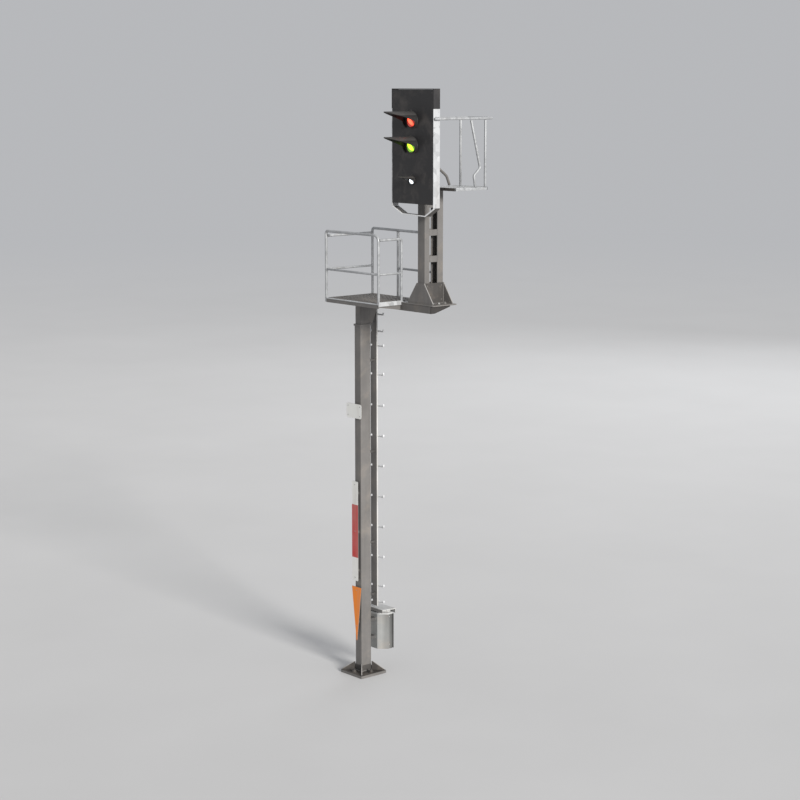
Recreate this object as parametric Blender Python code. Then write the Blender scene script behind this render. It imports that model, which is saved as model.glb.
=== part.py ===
"""Two-tier railway light signal on an offset mast, as a garden-railway model.

All lengths are full-size metres of the prototype and are multiplied by SCALE.
+Z up, the lamps face -Y, the origin is on the axis of the lower mast at the
underside of its base plate.
"""
import bpy
import bmesh
import math
from mathutils import Vector, Matrix

for old in list(bpy.data.objects):
    bpy.data.objects.remove(old, do_unlink=True)

# ---------------------------------------------------------------- dimensions
SCALE = 1 / 22.5          # model scale
GAP = 0.002               # clearance between touching pieces

BASE_HALF = 0.2267        # square base plate
BASE_T = 0.0404
RIB_H = 0.120             # diagonal ribs above the plate
RIB_T = 0.016
BOLT_AT = 0.160           # foundation bolts, from the mast axis
BOLT_R = 0.017

MAST_X, MAST_Y = 0.0679, 0.0895   # half sizes of the square tube
MAST_WALL = 0.011
MAST_TOP = 4.948
CAP_T = 0.022

NECK_X, NECK_Y = 0.060, 0.080
BEAM_BOT, DECK_BOT, DECK_TOP = 5.243, 5.334, 5.350
BEAM_Y0, BEAM_Y1 = -0.2133, 0.2136
BEAM_END = 1.630

DECK_X0, DECK_X1 = -0.0355, 1.0393
DECK_Y0, DECK_Y1 = -0.603, 0.2216
POST_X0, POST_X1 = -0.0555, 1.0205
POST_Y0, POST_Y1 = -0.582, 0.2320
REAR_POST = (0.500, 0.2108)
HOOP_Y = -0.1880           # rear leg of the right-hand hoop
POST_FOOT = 5.290         # side posts run down past the deck edge
RAIL_TOP = 6.2403
SIDE_DROP = 0.063
RAIL_MID = 5.730
RAIL_R = 0.0180
MID_R = 0.0150

COL_X0, COL_X1 = 1.3153, 1.4477
COL_Y0, COL_Y1 = -0.1612, 0.1609
COL_T = 0.012
COL_FLANGE_F = -0.0740
COL_FLANGE_R = 0.0614
COL_TOP = 6.818
FOOT_SPREAD = 0.1752
FOOT_Z = 5.6195
FOOT_END = 1.6598

HEAD_X0, HEAD_X1 = 0.9664, 1.7747
HEAD_F, HEAD_R = -0.3072, -0.1968
HEAD_TOP = 8.1207
SHIELD_BOT = 6.656
PANEL_BOT, PANEL_TOP = 6.6128, 7.8667
SHEET = 0.0100
LAMP_X = 1.345
WHITE_X = 1.360
LAMP_Z = {"red": 7.708, "green": 7.388, "white": 6.950}
LAMP_R = {"red": 0.075, "green": 0.075, "white": 0.042}
HOOD_R = {"red": 0.127, "green": 0.127, "white": 0.062}
HOOD_L = {"red": 0.450, "green": 0.450, "white": 0.225}

CAGE_X0, CAGE_X1 = 1.310, 1.7955
CAGE_SIDE = 1.279         # far edge member of the cage floor, and the curved bar
CAGE_Z = 7.742
CAGE_END = 0.715
CAGE_POST_Y = {"near": 0.5785, "far": 0.5945}
CAGE_FLOOR = 6.860
CAGE_FLOOR_T = 0.040

STILE_X0, STILE_X1 = -0.085, 0.048
STILE_Y0, STILE_Y1 = 0.214, 0.236
RUNG_Y = 0.2435
RUNG_HALF = 0.1550
RUNG_R = 0.0115
RUNGS = (5.062, 4.830, 4.627, 4.227, 3.792, 3.366, 2.941, 2.509, 2.078, 1.645,
         1.227, 0.996)

BOX_Y0, BOX_CHAMFER, BOX_Y1 = 0.182, 0.105, 0.372
BOX_HALF = 0.192
BOX_Z0, BOX_Z1 = 0.326, 0.850
BOX_WALL = 0.012


# ----------------------------------------------------------------- materials
def material(name, colour, rough, metal):
    mat = bpy.data.materials.new(name)
    mat.use_nodes = True
    shader = mat.node_tree.nodes["Principled BSDF"]
    shader.inputs["Base Color"].default_value = (*colour, 1)
    shader.inputs["Roughness"].default_value = rough
    shader.inputs["Metallic"].default_value = metal
    mat.diffuse_color = (*colour, 1)
    return mat


GREY = ("mast_paint", (0.20, 0.19, 0.18), 0.55, 0.0)
GALV = ("galvanised", (0.55, 0.56, 0.57), 0.45, 0.9)
BLACK = ("black_paint", (0.03, 0.03, 0.032), 0.45, 0.0)
STEEL = ("steel", (0.45, 0.45, 0.45), 0.35, 1.0)
WHITE = ("white_enamel", (0.78, 0.78, 0.75), 0.35, 0.0)
RED = ("red_enamel", (0.55, 0.03, 0.02), 0.35, 0.0)
YELLOW = ("yellow_enamel", (0.85, 0.45, 0.03), 0.35, 0.0)
LIGHT = ("light_grey_paint", (0.40, 0.41, 0.40), 0.5, 0.0)
BOARD = ("circuit_board", (0.03, 0.14, 0.06), 0.5, 0.0)
BRASS = ("brass", (0.60, 0.45, 0.18), 0.35, 1.0)
GLASS_R = ("red_glass", (0.80, 0.04, 0.02), 0.1, 0.0)
GLASS_G = ("green_glass", (0.10, 0.75, 0.15), 0.1, 0.0)
GLASS_W = ("white_glass", (0.85, 0.87, 0.90), 0.1, 0.0)


# ------------------------------------------------------------------- shapes
def finish(bm):
    bmesh.ops.recalc_face_normals(bm, faces=bm.faces)
    return bm


def box(x0, x1, y0, y1, z0, z1, bevel=0.0, edges="all"):
    bm = bmesh.new()
    bmesh.ops.create_cube(bm, size=1)
    for v in bm.verts:
        v.co = Vector(((x0 + x1) / 2 + v.co.x * (x1 - x0),
                       (y0 + y1) / 2 + v.co.y * (y1 - y0),
                       (z0 + z1) / 2 + v.co.z * (z1 - z0)))
    if bevel:
        chosen = [e for e in bm.edges if edges == "all"
                  or abs((e.verts[0].co - e.verts[1].co)["xyz".index(edges)]) > 1e-6]
        bmesh.ops.bevel(bm, geom=chosen, offset=bevel, segments=1,
                        affect="EDGES", clamp_overlap=True)
    return finish(bm)


def prism(axis, outline, a0, a1):
    """Closed outline in the plane across `axis`, extruded from a0 to a1."""
    i = "xyz".index(axis)
    bm = bmesh.new()
    ring = []
    for p, q in outline:
        co = [p, q]
        co.insert(i, a0)
        ring.append(bm.verts.new(co))
    face = bm.faces.new(ring)
    out = bmesh.ops.extrude_face_region(bm, geom=[face])
    shift = Vector((0, 0, 0))
    shift[i] = a1 - a0
    for v in [g for g in out["geom"] if isinstance(g, bmesh.types.BMVert)]:
        v.co += shift
    return finish(bm)


def rounded(x0, x1, y0, y1, r, steps=3):
    pts = []
    for cx, cy, start in ((x1 - r, y1 - r, 0), (x0 + r, y1 - r, 90),
                          (x0 + r, y0 + r, 180), (x1 - r, y0 + r, 270)):
        for k in range(steps + 1):
            a = math.radians(start + 90 * k / steps)
            pts.append((cx + r * math.cos(a), cy + r * math.sin(a)))
    return pts


def square_tube(hx, hy, wall, z0, z1, r=0.014):
    """Open square tube standing on Z, with rounded corners."""
    outer = rounded(-hx, hx, -hy, hy, r)
    inner = rounded(-hx + wall, hx - wall, -hy + wall, hy - wall, max(r - wall, 0.004))
    bm = bmesh.new()
    rows = []
    for pts, z in ((outer, z0), (outer, z1), (inner, z1), (inner, z0)):
        rows.append([bm.verts.new((x, y, z)) for x, y in pts])
    n = len(outer)
    for a in range(4):
        b = (a + 1) % 4
        for k in range(n):
            m = (k + 1) % n
            bm.faces.new((rows[a][k], rows[a][m], rows[b][m], rows[b][k]))
    return finish(bm)


def rod(p0, p1, r, n=12):
    return sweep([p0, p1], r, n)


def sweep(points, r, n=10):
    """Round bar along a polyline, mitred at its corners, with flat ends."""
    pts = [Vector(p) for p in points]
    bm = bmesh.new()
    rings = []
    into = (pts[1] - pts[0]).normalized()
    ref = Vector((0, 0, 1)) if abs(into.z) < 0.9 else Vector((0, 1, 0))
    side = into.cross(ref).normalized()
    up = into.cross(side)
    for k, p in enumerate(pts):
        out = (pts[k + 1] - p).normalized() if 0 < k < len(pts) - 1 else into
        mitre = (into + out).normalized()
        ring = []
        for j in range(n):
            a = 2 * math.pi * (j + 0.5) / n
            off = (side * math.cos(a) + up * math.sin(a)) * r
            off -= into * (off.dot(mitre) / into.dot(mitre))
            ring.append(bm.verts.new(p + off))
        rings.append(ring)
        turn = into.rotation_difference(out)
        side, up, into = turn @ side, turn @ up, out
    for a, b in zip(rings, rings[1:]):
        for j in range(n):
            m = (j + 1) % n
            bm.faces.new((a[j], a[m], b[m], b[j]))
    bm.faces.new(rings[0])
    bm.faces.new(rings[-1])
    return finish(bm)


def fillet(points, radii, steps=5):
    """Polyline with its inner corners rounded to the given radii."""
    pts = [Vector(p) for p in points]
    out = [pts[0]]
    for k in range(1, len(pts) - 1):
        r = radii[k - 1]
        a = (pts[k - 1] - pts[k]).normalized()
        b = (pts[k + 1] - pts[k]).normalized()
        if r <= 0:
            out.append(pts[k])
            continue
        half = math.acos(max(-1, min(1, a.dot(b)))) / 2
        reach = r / math.tan(half)
        centre = pts[k] + (a + b).normalized() * (r / math.sin(half))
        s = pts[k] + a * reach - centre
        e = pts[k] + b * reach - centre
        for j in range(steps + 1):
            t = j / steps
            ang = (math.pi - 2 * half)
            w0 = math.sin((1 - t) * ang) / math.sin(ang)
            w1 = math.sin(t * ang) / math.sin(ang)
            out.append(centre + s * w0 + e * w1)
    out.append(pts[-1])
    return out


def turned(profile, centre, axis="y", n=20):
    """Solid of revolution; profile holds (distance along axis, radius)."""
    bm = bmesh.new()
    cx, cy, cz = centre
    rows = []
    for d, r in profile:
        row = []
        count = 1 if r == 0 else n
        for j in range(count):
            a = 2 * math.pi * j / n
            u, w = r * math.cos(a), r * math.sin(a)
            if axis == "y":
                co = (cx + u, cy + d, cz + w)
            elif axis == "x":
                co = (cx + d, cy + u, cz + w)
            else:
                co = (cx + u, cy + w, cz + d)
            row.append(bm.verts.new(co))
        rows.append(row)
    for a, b in zip(rows, rows[1:]):
        for j in range(n):
            m = (j + 1) % n
            if len(a) == 1:
                bm.faces.new((a[0], b[m], b[j]))
            elif len(b) == 1:
                bm.faces.new((a[j], a[m], b[0]))
            else:
                bm.faces.new((a[j], a[m], b[m], b[j]))
    if len(rows[0]) > 1:
        bm.faces.new(rows[0])
    if len(rows[-1]) > 1:
        bm.faces.new(rows[-1])
    return finish(bm)


helper = [0]


def to_object(name, bm, origin):
    mesh = bpy.data.meshes.new(name)
    for v in bm.verts:
        v.co = (v.co - origin) * SCALE
    bm.to_mesh(mesh)
    bm.free()
    obj = bpy.data.objects.new(name, mesh)
    obj.location = origin * SCALE
    bpy.context.scene.collection.objects.link(obj)
    return obj


def part(name, finish_of, solids, cuts=(), origin=(0, 0, 0), smooth=False):
    """One named piece: the solids joined into one body, less the cuts."""
    origin = Vector(origin)
    obj = to_object(name, solids[0], origin)
    obj.data.materials.append(material(name + "_" + finish_of[0], *finish_of[1:]))
    for operation, others in (("UNION", solids[1:]), ("DIFFERENCE", cuts)):
        for bm in others:
            helper[0] += 1
            tool = to_object("tool_%03d" % helper[0], bm, Vector((0, 0, 0)))
            tool.hide_render = True
            tool.display_type = "WIRE"
            mod = obj.modifiers.new(operation.lower(), "BOOLEAN")
            mod.operation = operation
            mod.solver = "EXACT"
            mod.object = tool
    if smooth:
        obj.data.shade_smooth()
        obj.data.set_sharp_from_angle(angle=math.radians(40))
    return obj


# ---------------------------------------------------------------- foundation
def rib(sx, sy):
    """Triangular plate from a mast corner out to the base plate's corner."""
    start = Vector((sx * (MAST_X + GAP), sy * (MAST_Y + GAP), 0))
    end = Vector((sx * (BASE_HALF - 0.016), sy * (BASE_HALF - 0.016), 0))
    along = (end - start).normalized()
    across = Vector((-along.y, along.x, 0)) * RIB_T / 2
    low = BASE_T - 0.012
    outline = [(start, low), (end, low), (end, BASE_T + 0.006),
               (start + along * 0.012, BASE_T + RIB_H), (start, BASE_T + RIB_H)]
    bm = bmesh.new()
    rows = []
    for side in (-1, 1):
        rows.append([bm.verts.new((p.x + side * across.x, p.y + side * across.y, z))
                     for p, z in outline])
    bm.faces.new(rows[0])
    bm.faces.new(rows[1])
    for k in range(5):
        m = (k + 1) % 5
        bm.faces.new((rows[0][k], rows[0][m], rows[1][m], rows[1][k]))
    return finish(bm)


bolt_spots = {"front": (0, -BOLT_AT - 0.012), "right": (BOLT_AT, 0),
              "rear": (0, BOLT_AT + 0.012), "left": (-BOLT_AT, 0)}
part("base_plate", GREY,
     [box(-BASE_HALF, BASE_HALF, -BASE_HALF, BASE_HALF, 0, BASE_T, 0.006, "z")]
     + [rib(sx, sy) for sx in (-1, 1) for sy in (-1, 1)],
     [rod((x, y, -0.02), (x, y, BASE_T + 0.02), BOLT_R + 0.003, 16)
      for x, y in bolt_spots.values()])
for where, (x, y) in bolt_spots.items():
    top = BASE_T + GAP
    part("anchor_bolt_" + where, STEEL,
         [turned([(0.004, BOLT_R - 0.002), (top - 0.001, BOLT_R - 0.002),
                  (top, 0.040), (top + 0.005, 0.040), (top + 0.005, 0.031),
                  (top + 0.029, 0.031), (top + 0.029, BOLT_R - 0.004),
                  (top + 0.046, BOLT_R - 0.004)], (x, y, 0), "z", 6 * 2)],
         origin=(x, y, top))

# ---------------------------------------------------------------- lower mast
part("lower_mast", GREY,
     [square_tube(MAST_X, MAST_Y, MAST_WALL, BASE_T + GAP, MAST_TOP - CAP_T),
      box(-MAST_X - 0.006, MAST_X + 0.006, -MAST_Y - 0.006, MAST_Y + 0.006,
          MAST_TOP - CAP_T - 0.004, MAST_TOP)],
     [box(-0.030, 0.030, -0.040, 0.040, MAST_TOP - 0.2, MAST_TOP + 0.1)],
     smooth=True)

neck0 = MAST_TOP + GAP
flare = [(NECK_Y - 0.004, neck0), (0.131, neck0), (0.2100, 5.130), (0.2100, BEAM_BOT - 0.012),
         (NECK_Y - 0.004, BEAM_BOT - 0.012)]
part("mast_neck", GREY,
     [square_tube(NECK_X, NECK_Y, MAST_WALL, neck0, BEAM_BOT - 0.018),
      prism("x", flare, NECK_X - 0.0095, NECK_X - 0.002),
      prism("x", flare, -NECK_X + 0.002, -NECK_X + 0.0095),
      box(-0.030, 0.150, BEAM_Y0 + 0.012, BEAM_Y1 - 0.004, BEAM_BOT - 0.020,
          BEAM_BOT - GAP)],
     [box(-0.028, 0.028, -0.040, 0.040, BEAM_BOT - 0.10, BEAM_BOT + 0.05)])

# ----------------------------------------------------- outrigger and deck
b1 = DECK_BOT - GAP


def channel_y(y_web, y_tip, x0, x1):
    """Channel lying along X: web at y_web, flanges reaching y_tip."""
    s = 1 if y_tip > y_web else -1
    t = 0.012
    return prism("x", [(y_web, BEAM_BOT), (y_tip, BEAM_BOT), (y_tip, BEAM_BOT + t),
                       (y_web + s * t, BEAM_BOT + t), (y_web + s * t, b1 - t),
                       (y_tip, b1 - t), (y_tip, b1), (y_web, b1)], x0, x1)


part("outrigger_frame", GREY,
     [channel_y(BEAM_Y0, BEAM_Y0 + 0.075, -0.0335, BEAM_END - 0.004),
      channel_y(BEAM_Y1, BEAM_Y1 - 0.075, -0.0335, BEAM_END - 0.090),
      prism("z", [(BEAM_END - 0.014, BEAM_Y0 + 0.002), (BEAM_END, BEAM_Y0 + 0.002),
                  (BEAM_END, 0.120), (BEAM_END - 0.092, BEAM_Y1 - 0.001),
                  (BEAM_END - 0.108, BEAM_Y1 - 0.008), (BEAM_END - 0.014, 0.113)],
            BEAM_BOT + 0.002, b1 - 0.002),
      box(0.170, 0.184, BEAM_Y0 + 0.004, BEAM_Y1 - 0.004, BEAM_BOT + 0.002, b1 - 0.002),
      box(1.030, 1.044, BEAM_Y0 + 0.004, BEAM_Y1 - 0.004, BEAM_BOT + 0.002, b1 - 0.002),
      box(-0.0315, -0.0195, BEAM_Y0 + 0.004, BEAM_Y1 - 0.004, BEAM_BOT + 0.002, b1 - 0.002)],
     # both free ends rise towards the rear corner of the foot plate
     [prism("y", [(1.360, BEAM_BOT - 0.001), (1.360, BEAM_BOT - 0.030), (1.720, BEAM_BOT - 0.030),
                  (1.720, b1 - 0.016), (1.545, b1 - 0.016)], 0.126, 0.300),
      prism("x", [(-0.150, BEAM_BOT - 0.001), (-0.150, BEAM_BOT - 0.030),
                  (0.260, BEAM_BOT - 0.030), (0.260, b1 - 0.016), (0.125, b1 - 0.016)],
            BEAM_END - 0.120, BEAM_END + 0.050)])


def console(x0, x1):
    """Tapered bracket under the front of the deck, on the beam's web."""
    return prism("x", [(BEAM_Y0 - GAP, BEAM_BOT + 0.004), (BEAM_Y0 - GAP, b1),
                       (DECK_Y0 + 0.014, b1), (DECK_Y0 + 0.014, b1 - 0.030)], x0, x1)


part("deck_frame", GREY,
     [box(DECK_X0 + 0.004, DECK_X1 - 0.004, DECK_Y0 + GAP, DECK_Y0 + 0.018,
          DECK_TOP - 0.062, b1),
      console(DECK_X0 + 0.006, DECK_X0 + 0.020), console(0.495, 0.509),
      console(DECK_X1 - 0.020, DECK_X1 - 0.006),
      box(DECK_X0 + 0.008, DECK_X1 - 0.008, -0.412, -0.400, b1 - 0.036, b1)])
part("deck_plate", GALV,
     [box(DECK_X0, DECK_X1, DECK_Y0, DECK_Y1, DECK_BOT, DECK_TOP, 0.003)])
part("deck_toe_board", GALV,
     [box(DECK_X1 + GAP, DECK_X1 + 0.012, DECK_Y0, BEAM_Y0, DECK_TOP - 0.036,
          DECK_TOP + 0.022, 0.002)])

# -------------------------------------------------------------- deck railing
floor = DECK_TOP + GAP
side_top = RAIL_TOP - SIDE_DROP
part("rail_front_hoop", GALV,
     [sweep(fillet([(POST_X0, POST_Y0, POST_FOOT), (POST_X0, POST_Y0, RAIL_TOP),
                    (POST_X1, POST_Y0, RAIL_TOP), (POST_X1, POST_Y0, floor)],
                   (0.035, 0.085), 6), RAIL_R, 10)], smooth=True)
part("rail_front_middle", GALV,
     [rod((POST_X0 + RAIL_R + GAP, POST_Y0, RAIL_MID),
          (POST_X1 - RAIL_R - GAP, POST_Y0, RAIL_MID), MID_R, 8)], smooth=True)
part("rail_left_top", GALV,
     [rod((POST_X0, POST_Y0 + RAIL_R + GAP, side_top),
          (POST_X0, POST_Y1 - RAIL_R - GAP, side_top), RAIL_R, 10)], smooth=True)
part("rail_left_middle", GALV,
     [rod((POST_X0, POST_Y0 + RAIL_R + GAP, RAIL_MID),
          (POST_X0, POST_Y1 - RAIL_R - GAP, RAIL_MID), MID_R, 8)], smooth=True)
rear_at_column = COL_Y1 + RAIL_R + GAP
part("rail_rear_top", GALV,
     [sweep(fillet([(POST_X0, POST_Y1, POST_FOOT), (POST_X0, POST_Y1, RAIL_TOP),
                    (COL_X0 - 0.030, rear_at_column, RAIL_TOP),
                    (COL_X0 + 0.040, rear_at_column, RAIL_TOP)], (0.035, 0.0), 6),
            RAIL_R, 10)], smooth=True)
part("rail_rear_post", GALV,
     [rod((*REAR_POST, floor), (*REAR_POST, RAIL_TOP - RAIL_R - GAP - 0.0005),
          RAIL_R, 10)],
     smooth=True)
part("rail_rear_middle", GALV,
     [rod((REAR_POST[0] + RAIL_R + GAP, REAR_POST[1], RAIL_MID),
          (COL_X0 + 0.040, COL_Y1 + MID_R + GAP, RAIL_MID), MID_R, 8)], smooth=True)
part("rail_right_hoop", GALV,
     [sweep(fillet([(POST_X1, POST_Y0 + RAIL_R + GAP, side_top),
                    (POST_X1, HOOP_Y, side_top), (POST_X1, HOOP_Y, floor)],
                   (0.030,), 5), RAIL_R, 10)], smooth=True)
part("rail_right_middle", GALV,
     [rod((POST_X1, POST_Y0 + RAIL_R + GAP, RAIL_MID),
          (POST_X1, HOOP_Y - RAIL_R - GAP, RAIL_MID), MID_R, 8)], smooth=True)

# ------------------------------------------------------------- upper column
gusset = [(COL_X0 - FOOT_SPREAD, DECK_TOP - 0.004), (COL_X1 + FOOT_SPREAD, DECK_TOP - 0.004),
          (COL_X1 + FOOT_SPREAD, DECK_TOP + 0.018), (COL_X1 + 0.004, FOOT_Z),
          (COL_X0 - 0.004, FOOT_Z), (COL_X0 - FOOT_SPREAD, DECK_TOP + 0.018)]
part("column_foot", GREY,
     [box(DECK_X1 + 0.002 + GAP, FOOT_END, -0.2105, 0.2120, DECK_BOT, DECK_TOP, 0.003),
      prism("y", gusset, COL_Y0 - GAP - 0.014, COL_Y0 - GAP),
      prism("y", gusset, COL_Y1 + GAP, COL_Y1 + GAP + 0.014)])


def channel_z(y_web, y_tip, z0, z1):
    """Channel standing on Z: web across X at y_web, flanges reaching y_tip."""
    s = 1 if y_tip > y_web else -1
    t = COL_T
    return prism("z", [(COL_X0, y_web), (COL_X1, y_web), (COL_X1, y_tip),
                       (COL_X1 - t, y_tip), (COL_X1 - t, y_web + s * t),
                       (COL_X0 + t, y_web + s * t), (COL_X0 + t, y_tip),
                       (COL_X0, y_tip)], z0, z1)


part("column_channel_front", GREY,
     [channel_z(COL_Y0, COL_FLANGE_F, DECK_TOP + GAP, COL_TOP)])
part("column_channel_rear", GREY,
     [channel_z(COL_Y1, COL_FLANGE_R, DECK_TOP + GAP, COL_TOP)])


def batten(z0, z1):
    """Pair of batten plates between the flanges, tied by a diaphragm."""
    y0, y1 = COL_FLANGE_F + GAP, COL_FLANGE_R - GAP
    mid = (z0 + z1) / 2
    return [box(COL_X1 - COL_T, COL_X1 - 0.001, y0, y1, z0, z1),
            box(COL_X0 + 0.001, COL_X0 + COL_T, y0, y1, z0, z1),
            box(COL_X0 + COL_T - 0.004, COL_X1 - COL_T + 0.004, y0 + 0.003, y1 - 0.003,
                mid - 0.006, mid + 0.006)]


for label, z0, z1 in (("lower", 5.892, 5.974), ("upper", 6.236, 6.316),
                      ("top", 6.600, COL_TOP)):
    part("column_batten_" + label, GREY, batten(z0, z1))
part("column_batten_foot", GREY,
     [box(COL_X1 + GAP, COL_X1 + 0.012, COL_Y0 + 0.001, COL_Y1 - 0.001, DECK_TOP + GAP, FOOT_Z),
      box(COL_X0 - 0.012, COL_X0 - GAP, COL_Y0 + 0.001, COL_Y1 - 0.001, DECK_TOP + GAP, FOOT_Z),
      box(COL_X0 - 0.006, COL_X1 + 0.006, COL_FLANGE_F + GAP + 0.003, COL_FLANGE_R - GAP - 0.003,
          5.480, 5.492)])

# --------------------------------------------------------------------- head
part("head_bracket", GREY,
     [box(COL_X0 + 0.004, COL_X1 - 0.004, HEAD_R + GAP, COL_Y0 - GAP, 6.664, 6.820, 0.003)])

wall = SHEET
in0, in1 = HEAD_X0 + SHEET + GAP, HEAD_X1 - SHEET - GAP     # inside the side panels
casing_f = HEAD_F + SHEET + GAP
door_x0, door_x1, door_z0, door_z1 = 1.318, 1.722, 6.990, 7.650
part("head_casing", BLACK,
     [box(in0, in1, casing_f, HEAD_R, SHIELD_BOT, HEAD_TOP - SHEET - GAP)],
     [box(in0 + wall, in1 - wall, casing_f - 0.02, HEAD_R - wall, SHIELD_BOT + wall,
          HEAD_TOP - SHEET - GAP - wall),
      box(door_x0 + 0.012, door_x1 - 0.012, HEAD_R - 0.03, HEAD_R + 0.02,
          door_z0 + 0.012, door_z1 - 0.012)])
holes = [rod((WHITE_X if c == "white" else LAMP_X, HEAD_F - 0.02, LAMP_Z[c]),
             (WHITE_X if c == "white" else LAMP_X, HEAD_F + 0.03, LAMP_Z[c]),
             LAMP_R[c] + 0.003, 28) for c in ("red", "green", "white")]
part("head_shield", BLACK,
     [box(in0, in1, HEAD_F, HEAD_F + SHEET, SHIELD_BOT, HEAD_TOP - SHEET - GAP)], holes)
part("head_cap", BLACK,
     [prism("y", [(HEAD_X0, PANEL_TOP + GAP), (HEAD_X0 + SHEET, PANEL_TOP + GAP),
                  (HEAD_X0 + SHEET, HEAD_TOP - SHEET), (HEAD_X1 - SHEET, HEAD_TOP - SHEET),
                  (HEAD_X1 - SHEET, PANEL_TOP + GAP), (HEAD_X1, PANEL_TOP + GAP),
                  (HEAD_X1, HEAD_TOP), (HEAD_X0, HEAD_TOP)], HEAD_F, HEAD_R)])
part("head_side_panel_right", GALV,
     [box(HEAD_X1 - SHEET, HEAD_X1, HEAD_F, HEAD_R, PANEL_BOT, PANEL_TOP, 0.002)])
part("head_side_panel_left", GALV,
     [box(HEAD_X0, HEAD_X0 + SHEET, HEAD_F, HEAD_R, PANEL_BOT, PANEL_TOP, 0.002)])
hoop_out = [(HEAD_X0, PANEL_BOT - GAP), (HEAD_X0 + 0.004, PANEL_BOT - 0.012),
            (1.160, 6.511), (1.604, 6.499), (HEAD_X1 - 0.003, PANEL_BOT - 0.014),
            (HEAD_X1, PANEL_BOT - GAP), (HEAD_X1 - 0.013, PANEL_BOT - GAP),
            (1.599, 6.512), (1.164, 6.524), (HEAD_X0 + 0.016, PANEL_BOT - GAP)]
part("head_lower_hoop", GALV, [prism("y", hoop_out, HEAD_F + 0.004, HEAD_R)])


def hood(cx, cz, r, length):
    """Tube round the lens, open below, its sides cut back from the tip of its roof."""
    t = 0.011
    n = 26
    collar = 0.35 * r
    root = HEAD_F - GAP
    bm = bmesh.new()
    rows = []
    for k in range(n + 1):
        degrees = -40 + 260 * k / n
        a = math.radians(degrees)
        below = max(0.0, abs(degrees - 90) - 90)
        reach = (collar * (1 - below / 75)
                 + (length - collar) * max(0.0, math.sin(a)) ** 1.2)
        c, s = math.cos(a), math.sin(a)
        row = []
        for radius, y in ((r, root), (r, root - reach), (r - t, root - reach),
                          (r - t, root)):
            row.append(bm.verts.new((cx + radius * c, y, cz + radius * s)))
        rows.append(row)
    for a, b in zip(rows, rows[1:]):
        for k in range(4):
            m = (k + 1) % 4
            bm.faces.new((a[k], a[m], b[m], b[k]))
    bm.faces.new(rows[0])
    bm.faces.new(rows[-1])
    return finish(bm)


for colour, glass in (("red", GLASS_R), ("green", GLASS_G), ("white", GLASS_W)):
    x = WHITE_X if colour == "white" else LAMP_X
    z, r = LAMP_Z[colour], LAMP_R[colour]
    part("hood_" + colour, BLACK, [hood(x, z, HOOD_R[colour], HOOD_L[colour])],
         smooth=True)
    part("lens_" + colour, glass,
         [turned([(HEAD_F + 0.026, r * 0.55), (HEAD_F + 0.014, r * 0.80),
                  (HEAD_F + 0.002, r), (HEAD_F - 0.006, r), (HEAD_F - 0.013, r * 0.86),
                  (HEAD_F - 0.019, r * 0.55), (HEAD_F - 0.021, 0)], (x, 0, z), "y", 24)],
         origin=(x, HEAD_F, z), smooth=True)
lamps = []
for colour in ("red", "green", "white"):
    x = WHITE_X if colour == "white" else LAMP_X
    lamps.append(rod((x, HEAD_F + 0.029, LAMP_Z[colour]), (x, HEAD_F + 0.058, LAMP_Z[colour]),
                     0.024, 12))
part("lamp_board", BOARD,
     [box(1.215, 1.475, HEAD_F + 0.052, HEAD_F + 0.064, 6.800, 7.820)] + lamps)

# rear door of the head, on a vertical pin at its right-hand edge
pin_x, pin_y = door_x1 + 0.014, HEAD_R + 0.014
knuckles = [(door_z0 + 0.030, door_z0 + 0.110), (door_z1 - 0.110, door_z1 - 0.030)]
leaf = [box(door_x0, door_x1, HEAD_R + GAP, HEAD_R + GAP + 0.012, door_z0, door_z1)]
for z0, z1 in knuckles:
    leaf.append(rod((pin_x, pin_y, z0), (pin_x, pin_y, z1), 0.0115, 14))
    leaf.append(box(door_x1 - 0.006, pin_x, HEAD_R + GAP + 0.001, HEAD_R + GAP + 0.011, z0, z1))
part("head_door", BLACK, leaf,
     [rod((pin_x, pin_y, z0 - 0.01), (pin_x, pin_y, z1 + 0.01), 0.0060, 14)
      for z0, z1 in knuckles]
     + [rod((door_x0 + 0.045, HEAD_R - 0.02, 7.320), (door_x0 + 0.045, HEAD_R + 0.05, 7.320),
            0.0135, 18)],
     origin=(pin_x, pin_y, (door_z0 + door_z1) / 2))
pin_low, pin_high = door_z0 + 0.004, door_z1 - 0.004
lugs = []
for z0, z1 in ((pin_low, door_z0 + 0.026), (door_z1 - 0.026, pin_high)):
    lugs.append(box(pin_x - 0.006, pin_x + 0.012, HEAD_R + GAP, pin_y, z0, z1))
part("head_door_pin", STEEL,
     [rod((pin_x, pin_y, pin_low), (pin_x, pin_y, pin_high), 0.0045, 14)] + lugs)
part("head_door_lock", STEEL,
     [turned([(HEAD_R - 0.006, 0.011), (HEAD_R + 0.020, 0.011)], (door_x0 + 0.045, 0, 7.320),
             "y", 18),
      turned([(HEAD_R + GAP + 0.014, 0.021), (HEAD_R + 0.026, 0.021)],
             (door_x0 + 0.045, 0, 7.320), "y", 18),
      box(door_x0 + 0.040, door_x0 + 0.050, HEAD_R + 0.024, HEAD_R + 0.036, 7.303, 7.337),
      ],
     origin=(door_x0 + 0.045, HEAD_R, 7.320))

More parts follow.
